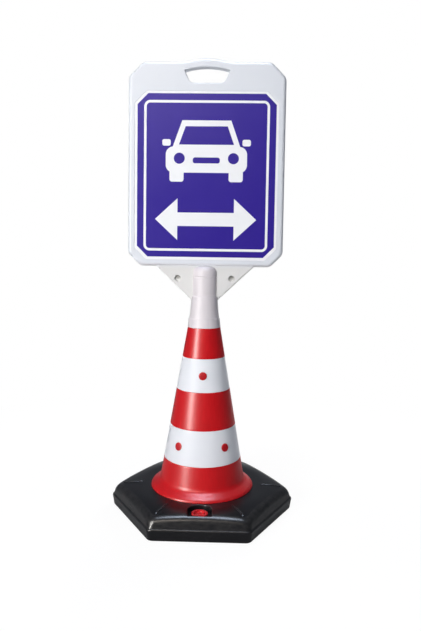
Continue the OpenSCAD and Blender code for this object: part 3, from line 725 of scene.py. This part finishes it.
# rows of radius and height by direction: deck, ridge, side, plinth, underside and hub
def makeBase(b):
    angle = baseColumns()
    ridge = ridgeKnots(angle, b)
    start, end = ridge[0, 0], ridge[2, 1]
    level = np.ones_like(angle)
    hidden = np.array([b.throat, b.hiddenRow])[:, None] * level
    t = np.linspace(0, 1, 51)[:, None]
    deckR = np.concatenate([hidden, b.seenFrom + (start - b.seenFrom) * t])
    beside, below = np.linspace(0, b.blockShare, 14)[1:], np.linspace(b.blockShare, 1, 7)[1:]
    share = np.concatenate([beside, below])[:, None]
    sideZ = end + (b.plinthTop + b.sideFoot - end) * np.linspace(0, 1, 9)[1:, None]
    plinth = plinthLine(b)
    plinthR = hexRadius(angle, plinth[:, :1], b.corner)
    mouth = b.hubMouth + b.mouthEdge
    t = np.linspace(0, 1, 6)[1:, None]
    underR = plinthR[-1] * (1 - t) + mouth * t
    hub = eased([(mouth, 0.0), (b.hubMouth, 0.0), (b.undercut, b.lipFoot), (b.throat, b.lipFoot),
                 (b.throat, b.deckTop)], b.hubRounds, 4)[1:-1]
    r = np.concatenate([deckR, bend(share, ridge[:, 0]), sideRadius(angle, sideZ, b), plinthR, underR,
                        hub[:, :1] * level])
    z = np.concatenate([deckAlong(angle, deckR, b), bend(share, ridge[:, 1]), sideZ, plinth[:, 1:] * level,
                        np.zeros_like(underR), hub[:, 1:] * level])

    # paler where hands and kerbs rub: ribs, ridge, sides and ledge
    wear, mark = b.wear, np.zeros_like(r)
    deckEnd, ridgeEnd, sideEnd = np.cumsum([len(deckR), len(share), len(sideZ)])
    mark[:deckEnd] = np.clip((z[:deckEnd] - deckArc(deckR, b)) / b.ribHeight, 0, 1) * wear.ribs
    mark[deckEnd:ridgeEnd] = wear.ridge
    mark[ridgeEnd:sideEnd] = wear.sides
    mark[sideEnd:sideEnd + wear.ledgeRows] = wear.ledge

    # a block of the deck is left out, and the pocket's rows start from its edge
    shell = Shell()
    index = shell.add(np.stack([r * np.cos(angle), r * np.sin(angle), z], -1), mark)
    inBlock = np.where(np.abs(np.degrees(angle) - b.fillerWay) < b.blockHalf)[0]
    firstRow, lastRow = len(hidden), deckEnd + len(beside) - 1
    firstColumn, lastColumn = inBlock[0], inBlock[-1]
    keep = np.ones(index.shape, bool)
    keep[firstRow:lastRow, firstColumn:lastColumn] = False
    shell.weave(index, True, keep)
    block = index[firstRow:lastRow + 1, firstColumn:lastColumn + 1]
    edge = np.concatenate([block[0, :-1], block[:-1, -1], block[-1, :0:-1], block[:0:-1, 0]])
    inner = shell.add(*pocketRows(shell.points[0][edge], angle, ridge, b))
    shell.weave(np.concatenate([edge[None], inner]))
    shell.piece("baseTank", black, "base", ["base_tank"], "base_black", 50)


makeBase(base)

# filler plug and its gasket; the roundings follow the profile from the bowl's middle to the shank's
plug = Settings(
    at=(0.0, base.fillerAt), seat=61.0, headRadius=24.2, headHeight=6.0,
    bowl=15.6, bowlDepth=5.2, rounds=(0, 2.4, 1.6, 2.4, 0.6, 0.3, 0.8, 0.6, 1.0, 0),
    grips=30, gripDepth=0.014, gripBand=(2.0, 0.2), gripPower=3,
    barHalf=2.4, barDrop=3.4, barSpread=0.6, barSink=0.5, barRound=1.6,
    shank=17.5, shankWall=3.0, shankFoot=46.0,
    pitch=3.0, thread=1.1, threadFoot=2, threadTop=3, threadFade=1.2, threadRoot=0.3,
    threadCrest=0.1, threadShape=(-1.1, -0.3, 0.3, 1.1), wear=Settings(grip=0.5, bar=0.15, thread=0.3),
    gasketBore=18.1, gasketRadius=23.5, gasketFoot=59.0, gasketRound=0.7,
)


def makePlug(p):
    shell = Shell()
    around = circle(240)
    seat, foot, bowl, atX, atY = p.seat, p.shankFoot, p.bowl, *p.at
    top, core, inside = seat + p.headHeight, p.shank - p.thread, p.shank - p.shankWall
    floor = top - p.bowlDepth
    # head, bowl, underside and hollow shank in one closed profile
    profile = eased([(0, floor), (bowl, floor), (bowl, top), (p.headRadius, top), (p.headRadius, seat),
                     (core, seat), (core, foot), (inside, foot), (inside, seat), (0, seat)], p.rounds, 6)
    points = turned(profile, around)
    # shallow finger scallops round the head, where the profile is near its full radius: a cosine to a power
    start, full = p.gripBand
    part = ramp(profile[:, 0], p.headRadius - start, p.headRadius - full)[:, None]
    scallop = 1 - part * p.gripDepth * (0.5 + 0.5 * np.cos(p.grips * around)) ** p.gripPower
    points[..., :2] *= scallop[..., None]
    points[..., :2] += p.at
    shell.surface(points, False, np.broadcast_to(part * p.wear.grip, points.shape[:2]))
    # grip bar across the bowl: a round-topped ridge that ends in the bowl's wall
    half, spread, low, high = p.barHalf, p.barSpread, floor - p.barSink, top - p.barDrop
    along = np.linspace(-1, 1, 33)[:, None] * np.sqrt(bowl ** 2 - half ** 2)
    side = eased([(-half - spread, low), (-half, high), (half, high), (half + spread, low)],
                 [0, p.barRound, p.barRound, 0], 6)
    x = along * np.ones(len(side)) * np.sqrt(np.maximum(bowl ** 2 - side[:, 0] ** 2, 1)) / np.abs(along).max()
    level = np.ones_like(along)
    shell.bar(np.stack([x + atX, side[:, 0] * level + atY, side[:, 1] * level], -1), p.wear.bar)
    # thread: a small blunt ridge carried up a helix, thinning out at both ends
    turns = (seat - p.threadTop - foot - p.threadFoot) / p.pitch
    a = np.linspace(0, turns * 2 * np.pi, 200)[:, None]
    fade = np.minimum(ramp(a, 0, p.threadFade), 1 - ramp(a, a.max() - p.threadFade, a.max()))
    crest = p.thread + p.threadCrest
    reach = core - p.threadRoot + np.array([0.0, crest, crest, 0.0]) * fade
    height = foot + p.threadFoot + a / (2 * np.pi) * p.pitch + np.array(p.threadShape)
    shell.bar(np.stack([reach * np.cos(a) + atX, reach * np.sin(a) + atY, height], -1), p.wear.thread)
    shell.piece("fillerPlug", plugRed, "plug", ["filler_plug"], "plug_red")


# a ring of rounded square section
def makeGasket(p):
    shell = Shell()
    bore, rim, foot = p.gasketBore, p.gasketRadius, p.gasketFoot
    ring = eased([(bore, foot), (rim, foot), (rim, p.seat), (bore, p.seat)], p.gasketRound, 5, True)
    points = turned(ring, circle(128))
    points[..., :2] += p.at
    shell.surface(points, True)
    shell.piece("plugGasket", rubber, "gasket", ["plug_gasket"], "gasket_rubber")


makePlug(plug)
makeGasket(plug)

# red cone with its brim and snap tongues; lead and straight say how far from a turn of the wall
# its curve and the straight rows begin
cone = Settings(
    tip=753.0, tipRadius=23.5, slope=106.5 / 626, wall=3.0, seat=75.0, seatInset=3.0,
    innerFlare=127.0, innerRound=6.0, flareLead=4.0, flareStraight=10.0, innerStep=1.0, stepRound=1.0,
    flange=163.5, rimInset=0.8, rimDrop=6.0, rimWear=0.5, rimRows=(2, 10),
    brimFrom=98.0, brimLean=30.0, brimHollow=11.0, brimRound=12.0, lead=20.0, straight=30.0,
    tipRim=4.0, tipBore=15.0, tipRounds=(0, 3.0, 1.0, 0.8, 2.0, 0),
    shoulder=585.7, shoulderLead=9.0, shoulderRounds=(0, 0.6, 0.4, 0), sleeveRecess=2.0,
    bands=((169.0, 277.0), (390.5, 493.5)), recess=1.2, recessLead=5.0, recessLean=0.15,
    recessRounds=(0, 0.45, 0.3, 0.3, 0.45, 0), film=0.9,
    spigot=136.7, spigotFoot=53.7, overlap=1.0, tongues=6, tongueWidth=56.0, slot=4.0,
    hookTop=62.7, hookReach=3.6, hookLead=1.8, hookRounds=(0.6, 0.8, 0.8, 0.5, 0.4, 0, 0),
    plainRounds=(0.6, 0.6, 0, 0),
)


# straight taper of the cone: tip radius plus slope times the drop from the tip
def coneRadius(z):
    return cone.tipRadius + (cone.tip - np.asarray(z, float)) * cone.slope


# the stub above the shoulder, where the sleeve of the sign sits: the taper less the recess
def stubRadius(z):
    return coneRadius(z) - cone.sleeveRecess


# foot of the cone as radius and height: a brim leans away from the taper, hollow where they meet and
# swelling into a round rim, both curves over three knots
def brimLine(c):
    lean = math.radians(c.brimLean)
    out = np.array([math.cos(lean), -math.sin(lean)])
    meet = np.array([coneRadius(c.brimFrom), c.brimFrom])
    edge = meet + out * (c.flange - meet[0]) / out[0]
    hollowEnd = meet + out * c.brimHollow
    top = c.brimFrom + c.brimHollow
    s = np.linspace(0, 1, 17)[:, None]
    rim = bend(s, (edge - (0, c.rimDrop), edge, edge - out * c.brimRound))
    return np.concatenate([rim, bend(s, (hollowEnd, meet, np.array([coneRadius(top), top])))])


# the whole wall in one closed profile: underside, brim, taper with its band recesses, stub and tip, and
# back inside
def coneLine(c):
    wall, recess, lead, straight, flare = c.wall, c.recess, c.lead, c.straight, c.innerFlare
    step, tip, end, bore = c.shoulder, c.tip, c.tip - c.tipRim, c.tipBore
    ease, near, inFoot = c.recessLead, c.shoulderLead, c.spigot - c.wall

    # points on the taper or on the stub, or some way inside them
    def taper(z, depth=0.0):
        return coneRadius(z) - depth, z

    def stub(z, depth=0.0):
        return stubRadius(z) - depth, z

    rows = [[(inFoot + c.seatInset, c.seat), (c.flange - c.rimInset, c.seat)], brimLine(c)]
    for low, high in c.bands:
        lean = c.recessLean
        floor = [(coneRadius(low) - recess, low + lean), (coneRadius(high) - recess, high - lean)]
        rows.append(eased([taper(low - ease), taper(low), *floor, taper(high), taper(high + ease)],
                          c.recessRounds, 3))
    rows.append(eased([taper(step - near), taper(step), stub(step), stub(step + near)], c.shoulderRounds, 4))
    rows.append(eased([stub(end - lead), stub(tip), (bore, tip), (bore, end), stub(end, wall),
                       stub(end - lead, wall)], c.tipRounds, 5))
    rows.append(np.column_stack(stub(np.linspace(end - straight, step + near, 12), wall)))
    rows.append(eased([stub(step - c.innerStep, wall), stub(step - wall, wall), taper(step - 3 * wall, wall),
                       taper(step - lead, wall)], c.stepRound, 3))
    rows.append(np.column_stack(taper(np.linspace(step - straight, flare + c.flareStraight, 20), wall)))
    rows.append(eased([taper(flare + c.flareLead, wall), taper(flare, wall), (inFoot, c.seat)],
                      c.innerRound, 5))
    return np.concatenate(rows)


def makeCone(c):
    shell = Shell()
    profile = coneLine(c)
    mark = np.zeros((len(profile), 1))
    mark[slice(*c.rimRows)] = c.rimWear       # after the two rows of the underside
    shell.surface(turned(profile, turn), True, mark)

    # the spigot under the flange is cut into snap tongues with hooks and plain stretches between them
    outer, inner, foot, top = c.spigot, c.spigot - c.wall, c.spigotFoot, c.seat + c.overlap
    hook, hookTop = outer + c.hookReach, c.hookTop
    plain = eased([(inner, foot), (outer, foot), (outer, top), (inner, top)], c.plainRounds, 3, True)
    hooked = eased([(inner, foot), (outer, foot + c.hookLead), (hook, hookTop - c.hookReach), (hook, hookTop),
                    (outer, hookTop), (outer, top), (inner, top)], c.hookRounds, 3, True)
    half = np.arcsin(c.tongueWidth / 2 / outer)
    slot = np.arcsin((c.tongueWidth / 2 + c.slot) / outer)
    share = 2 * np.pi / c.tongues
    for k in range(c.tongues):
        for section, start, end in ((hooked, -half, half), (plain, slot, share - slot)):
            shell.bar(turned(section, np.linspace(start, end, 17) + k * share).swapaxes(0, 1))
    shell.piece("coneShell", red, "cone", ["cone_body"], "cone_red", 40)


# reflective sleeves; the lap is at the back
band = Settings(
    edgeGap=0.8, glue=0.05, edgeRound=0.2, faceDepth=0.3,
    lapFrom=3.9, lapTo=4.0, lapRise=0.3, lapEdge=0.1, lapStep=0.28,
)


# a sleeve of sheeting: a thin wall along the taper, its end lapped over its start at the back
def makeBand(name, node, low, high, s, c):
    shell = Shell()
    z = np.linspace(low + s.edgeGap, high - s.edgeGap, 25)
    bed = coneRadius(z) - c.recess
    inner, outer = np.stack([bed + s.glue, z], -1), np.stack([bed + c.film, z], -1)
    profile = eased(np.concatenate([outer, inner[::-1]]), s.edgeRound, 2, True)
    rise, lapEdge = np.radians(s.lapRise), np.radians(s.lapEdge)
    lapStart, lapEnd = np.pi / 2 - np.radians(s.lapFrom), np.pi / 2 + np.radians(s.lapTo)
    extra = [lapStart - lapEdge, lapStart, lapStart + rise, lapEnd, lapEnd + lapEdge]
    around = np.unique(np.concatenate([turn, extra]))
    points = turned(profile, around)
    # the lap stands proud by a film's slight step, on the outer face only
    onFace = (profile[:, 0] > coneRadius(profile[:, 1]) - c.recess + c.film - s.faceDepth)[:, None]
    lap = ramp(around, lapStart, lapStart + rise) * (around <= lapEnd)
    points[..., :2] *= (1 + onFace * lap * s.lapStep / profile[:, :1])[..., None]
    shell.surface(points, True)
    shell.piece(name, bandWhite, "cone", [node], "band_white", 40)


# push-in buttons; lower and upper say where they sit, in degrees from the front, and the ring is
# depth, middle and width
button = Settings(
    lower=(-39, 39, 141, 219), upper=(0, 180), radius=12.5, height=3.4, edgeShare=0.42,
    domeShare=0.58, ring=(0.25, 7.6, 1.0), skirt=1.1, shank=4.0, play=0.3,
    barb=1.6, barbLength=5.0, barbLead=0.2, rounds=(0, 0.3, 0.2, 0.2, 0.4, 0.6, 0),
    wear=0.6, wearRows=(8, 16),
)


# domed button: a profile of radius and height turned about the normal of the cone where it sits
def makeButtons(name, node, limits, degrees, b, c):
    shell = Shell()
    radius, shank, barb, skirt, edge = b.radius, b.shank, b.barb, b.skirt, b.edgeShare
    through = c.film + c.wall - c.recess + b.play
    end = -through - b.barbLength
    a = np.linspace(0, np.pi / 2, 13)
    dome = np.stack([radius * np.sin(a), b.height * (edge + b.domeShare * np.cos(a))], -1)
    rest = eased([(radius, b.height * edge), (radius, -skirt), (shank, -skirt), (shank, -through),
                  (shank + barb, -through - b.barbLead), (shank - barb, end), (0.0, end)], b.rounds, 4)
    dome[:, 1] -= swell(dome[:, 0], *b.ring)       # a ring pressed into it
    profile = np.concatenate([dome, rest[1:]])
    local = turned(profile, circle(64))
    mark = np.zeros((len(profile), 1))
    mark[slice(*b.wearRows)] = b.wear         # the dome's edge and the skirt
    z = sum(limits) / 2
    tilt = np.arctan(c.slope)
    reach = coneRadius(z) - c.recess + c.film
    for spin in np.radians(np.asarray(degrees) - 90):
        out = np.array([np.cos(spin) * np.cos(tilt), np.sin(spin) * np.cos(tilt), np.sin(tilt)])
        across = np.array([-np.sin(spin), np.cos(spin), 0.0])
        up = np.cross(out, across)
        spot = np.array([reach * np.cos(spin), reach * np.sin(spin), z])
        points = spot + local[..., :1] * across + local[..., 1:2] * up + local[..., 2:] * out
        shell.surface(points, False, mark)
    shell.piece(name, buttonRed, "cone", [node], "button_red", 45)


makeCone(cone)
makeBand("lowerBand", "lower_band", *cone.bands[0], band, cone)
makeBand("upperBand", "upper_band", *cone.bands[1], band, cone)
makeButtons("lowerButtons", "lower_band_buttons", cone.bands[0], button.lower, button, cone)
makeButtons("upperButtons", "upper_band_buttons", cone.bands[1], button.upper, button, cone)

# sign: panel, fin and sleeve in one moulding, and the printed sheets; the rows of an edge are inset and
# depth, and crease, bead and seam are height, middle and width
sign = Settings(
    half=244.0, low=778.0, high=1408.0, crown=11.0, crownHalf=70.0, crownFlat=23.1,
    topCut=46.0, bottomCut=40.0, corner=12.0, crownCurve=24.0, edge=11.0, draft=1.0, thick=16.0,
    strip=1.2, flashInset=0.3, flashDraft=0.15, flashDepth=1.0, flashCrest=0.45,
    handTop=75.0, handFoot=55.0, handHigh=1395.0, handShoulder=1383.0, handLow=1339.0,
    handCorner=16.0, handCurve=6.0, handFlare=4.0, handFlash=(0.1, 0.4),
    sheetHalf=222.0, sheetLow=799.0, sheetHigh=1317.0, sheetCut=36.0, sheetCorner=2.0, sheetThick=1.0,
    sheetBack=((2.0, 0.02), (0.05, 0.02), (0.0, 0.1)),
    sheetFace=((0.0, 0.3), (0.1, 0.08), (0.35, 0.0), (1.5, 0.0)),
    sheetGap=0.8, bayCorner=3.0, bayEdge=((-1.8, 0.0), (-0.7, 0.0), (-0.2, 0.16), (0.0, 0.6)),
    bayFloor=2.0, recess=1.5,
    finHalf=154.0, finFoot=37.0, finLow=664.0, finThick=10.0, finEdge=5.0, finDraft=0.4,
    finStart=3.0, finTuck=(3.0, 14.0),
    dimpleX=85.0, dimpleZ=740.0, dimpleRadius=10.5, dimpleLean=3.5, dimpleRound=1.2,
    # the dimples' painted shade: its level, how much more it has in the upper half, and where on the wall it
    # starts and is full
    dimpleStrip=2.0, web=3.0, grime=(0.55, 0.45), grimeSpan=(-0.4, 1.2),
    mouth=586.0, mouthEdge=2.0, lip=615.0, lipStep=1.6, seat=626.0, skirt=682.0, step=2.4,
    fit=0.3, sleeveTop=38.58, sleeveWall=2.2, rowStart=2.0, rowGap=0.8, seamStart=1.0,
    outerRounds=(0, 1.2, 0.8, 0.8, 4.0, 1.6, 2.0, 0), innerRounds=(0, 2, 0.6, 0.6, 0),
    domeStart=752.0, domeTop=781.0, domePower=2 / 3, crease=(1.8, 745.0, 2.2),
    bead=(0.45, 595.0, 1.1), seam=(0.25, 0.0, 0.7),
)


# a closed outline from its right half, written from the foot up
def bothHalves(right):
    right = np.array(right)
    return np.roll(np.concatenate([right, right[::-1] * (-1, 1)]), 1, 0)


def octagon(half, low, high, cut, corner):
    right = [(half - cut, low), (half, low + cut), (half, high - cut), (half - cut, high)]
    return eased(bothHalves(right), corner, 4, True)


# a standing outline in rows of inset and depth: each point less its normal times hold times the inset
def upright(outline, rows, hold=1.0):
    rows = np.asarray(rows, float)
    flat = outline - normals(outline) * np.reshape(hold, (-1, 1)) * rows[:, :1, None]
    return np.stack([flat[..., 0], np.broadcast_to(rows[:, 1:], flat.shape[:2]), flat[..., 1]], -1)


# rows of inset and depth at the front, carried on to the back
def mirrored(front):
    return np.concatenate([front * (1, -1), front[::-1]])


# a moulded edge: quarter circle from the face to the side, then drafted to a flash at mid thickness
def edgeProfile(half, edge, draft, s):
    a = np.radians(np.linspace(90, 0, 9))
    curve = np.stack([draft + edge * (1 - np.cos(a)), half - edge + edge * np.sin(a)], -1)
    flash = [[draft * s.flashDraft + s.flashInset, s.flashDepth], [0.0, s.flashCrest]]
    return mirrored(np.concatenate([[[draft + edge + s.strip, half]], curve, flash]))


# the moulded edge, the hand hole through the panel, and a shallow bay for a sheet on each face
def makePanel(shell, s):
    w, low, high, top = s.half, s.low, s.high, s.high + s.crown
    right = [(w - s.bottomCut, low), (w, low + s.bottomCut), (w, high - s.topCut), (w - s.topCut, high),
             (s.crownHalf, high), (s.crownFlat, top)]
    reach = [s.corner] * 5 + [s.crownCurve] * 4 + [s.corner] * 3
    outline = eased(bothHalves(right), reach, 8, True)
    side = shell.surface(upright(outline, edgeProfile(s.thick, s.edge, s.draft, s)))

    arch = np.linspace(1, -1, 9)[1:-1]
    wide, foot, shoulder, flare = s.handTop, s.handFoot, s.handShoulder, s.handFlare
    hand = [(-foot, s.handLow), (foot, s.handLow), (wide, shoulder)]
    hand += [(wide * k, s.handHigh - (s.handHigh - shoulder) * k * k) for k in arch]
    hand += [(-wide, shoulder)]
    reach = [s.handCorner] * 3 + [s.handCurve] * len(arch) + [s.handCorner]
    hand = eased(hand, reach, 7, True)
    a = np.radians(np.linspace(0, 90, 8))
    curve = np.stack([flare * np.sin(a), s.thick - flare * (1 - np.cos(a))], -1)
    inset, crest = s.handFlash
    flash = [[flare + s.flashInset, s.flashDepth], [flare + inset, crest]]
    rows = mirrored(np.concatenate([[[-s.strip, s.thick]], curve, flash]))
    hole = shell.surface(upright(hand, rows))

    gap, recess = s.sheetGap, s.recess
    bay = octagon(s.sheetHalf + gap, s.sheetLow - gap, s.sheetHigh + gap, s.sheetCut + gap / 2, s.bayCorner)
    bayRows = [*s.bayEdge, (0.0, recess), (s.bayFloor, recess)]
    for way, edgeRow, holeRow in ((-1, side[0], hole[0]), (1, side[-1], hole[-1])):
        rim = shell.surface(upright(bay, [(d, way * (s.thick - drop)) for d, drop in bayRows]))
        shell.fill(edgeRow, holeRow, rim[0])
        shell.fill(rim[-1])


# outer and inner line of the sleeve, as radius and height: collar, seat, skirt, step, plain part and a dome,
# whose radius and height are the cosine and sine of an angle to a power under one, so that its top is flat
def sleeveLines(s):
    top, wall, start = s.sleeveTop, s.sleeveWall, s.domeStart
    mouth, skirt, step = s.mouth, s.skirt, s.step
    room, ledge, height = top - wall, skirt + 2 * step, s.domeTop - start
    a = np.linspace(0, np.pi / 2, 25)
    dome = np.stack([np.cos(a).clip(0) ** s.domePower, np.sin(a) ** s.domePower], -1)

    # radius at a height of the seat, outside or inside the sleeve
    def around(z, grow):
        return float(stubRadius(z)) + grow

    fit, lip = s.fit + wall, s.lip
    outer = eased([(around(mouth, fit) - s.mouthEdge, mouth), (around(mouth, fit), mouth),
                   (around(lip, fit) + s.lipStep, lip - s.lipStep), (around(lip, fit), lip),
                   (around(s.seat, fit), s.seat), (top + step, skirt), (top, ledge), (top, start)],
                  s.outerRounds, 6)
    # finer rows on the straight parts, so that the crease and the bead can be pressed into them
    z = np.unique(np.concatenate([outer[1:, 1], np.arange(mouth + s.rowStart, start, s.rowGap)]))
    outer = np.concatenate([outer[:1], np.stack([np.interp(z, outer[1:, 1], outer[1:, 0]), z], -1)])
    outer[:, 0] -= swell(outer[:, 1], *s.crease) + swell(outer[:, 1], *s.bead)
    outer = np.concatenate([outer, dome[1:] * (top, height) + (0, start)])
    inner = eased([(around(mouth, s.fit), mouth), (around(s.seat, s.fit), s.seat), (room + step, skirt),
                   (room, ledge), (room, start)], s.innerRounds, 4)
    return outer, np.concatenate([inner, dome[1:] * (room, height - wall) + (0, start)])


# the two lines as one closed profile, turned about the axis
def makeSleeve(shell, s):
    outer, inner = sleeveLines(s)
    points = turned(np.concatenate([outer, inner[::-1]]), turn)
    # a slight mould ridge where the fin's parting plane meets the sleeve
    x, y, z = np.moveaxis(points, -1, 0)
    ridge = swell(y, *s.seam) * (z < s.domeStart) * (z > s.mouth + s.seamStart)
    ridge[len(outer):] = 0
    points[..., 0] += np.sign(x) * ridge
    shell.surface(points, True)


# the fin's outline ends inside the sleeve's wall, so it runs along the middle of that wall and over the dome
def makeFin(shell, s):
    outer, inner = sleeveLines(s)
    start, low, half = s.domeStart, s.low, s.finHalf
    cap = s.domeTop - s.sleeveWall / 2
    z = np.concatenate([np.linspace(s.finLow + s.finStart, start, 24), np.linspace(start, cap, 24)[1:]])
    middle = (np.interp(z, outer[:, 1], outer[:, 0]) + np.interp(z, inner[:, 1], inner[:, 0], right=0)) / 2
    middle[-1] = 0
    right = np.stack([middle, z], -1)
    slope = (low - s.finLow) / (half - s.finFoot)
    right = right[np.argmax(s.finLow + (right[:, 0] - s.finFoot) * slope < right[:, 1]):]
    t = np.linspace(0.0, 1.0, 14)[1:, None]
    slant = right[0] * (1 - t) + np.array([half, low]) * t
    beyond, above = s.finTuck
    top = np.array([(half + beyond, low + above), (-half - beyond, low + above)])
    flip = np.array([-1, 1])
    outline = np.concatenate([slant, top, slant[::-1] * flip, right * flip, right[::-1][1:]])
    moves, stays = np.ones(len(slant)), np.zeros(2 * len(right) - 1)
    hold = np.concatenate([moves, np.zeros(2), moves, stays])
    side = shell.surface(upright(outline, edgeProfile(s.finThick, s.finEdge, s.finDraft, s), hold))
    # dimples: a profile of radius and depth turned about an axis along y, closed by its floor
    around = circle(48)
    rim, thick, web, soft = s.dimpleRadius, s.finThick, s.web, s.dimpleRound
    profile = eased([(rim + s.dimpleStrip, thick), (rim, thick), (rim - s.dimpleLean, web), (0, web)],
                    [0, soft, soft, 0], 5)
    r, depth = profile[:, :1], profile[:, 1:]
    # painted shade on the dimple's wall, darkest in its upper half, which the light from above leaves in
    # shade
    level, swing = s.grime
    grime = ramp(rim - r, *s.grimeSpan) * (level + swing * np.sin(around))
    for way, sideRow in ((-1, side[0]), (1, side[-1])):
        rims = []
        for x in (-s.dimpleX, s.dimpleX):
            points = np.stack([x + r * np.cos(around), way * depth * np.ones_like(around),
                               s.dimpleZ + r * np.sin(around)], -1)
            rims.append(shell.surface(points, False, grime)[0])
        shell.fill(sideRow, *rims)


def makeSign(s):
    shell = Shell()
    makePanel(shell, s)
    makeSleeve(shell, s)
    makeFin(shell, s)
    shell.piece("signShell", signWhite, "sign", ["sign_shell"], "sign_white", 38)


# a sheet: its outline with a slightly rounded edge on the outer face
def makeSheet(name, node, side, s):
    shell = Shell()
    outline = octagon(s.sheetHalf, s.sheetLow, s.sheetHigh, s.sheetCut, s.sheetCorner)
    back = s.thick - s.recess
    face = back + s.sheetThick
    rows = [(d, back + y) for d, y in s.sheetBack] + [(d, face - y) for d, y in s.sheetFace]
    index = shell.surface(upright(outline, [(d, side * y) for d, y in rows]))
    shell.fill(index[0])
    shell.fill(index[-1])
    shell.piece(name, printed, "sign", [node], "print_blue", 50)


makeSign(sign)
makeSheet("frontSheet", "front_print_sheet", -1, sign)
makeSheet("rearSheet", "rear_print_sheet", 1, sign)

# the sand stays as the frame has it, with its own finish
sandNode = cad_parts["sand_ballast"]
sandNode.data.materials.clear()
sandNode.data.materials.append(sand.material)
print("sand dressed")
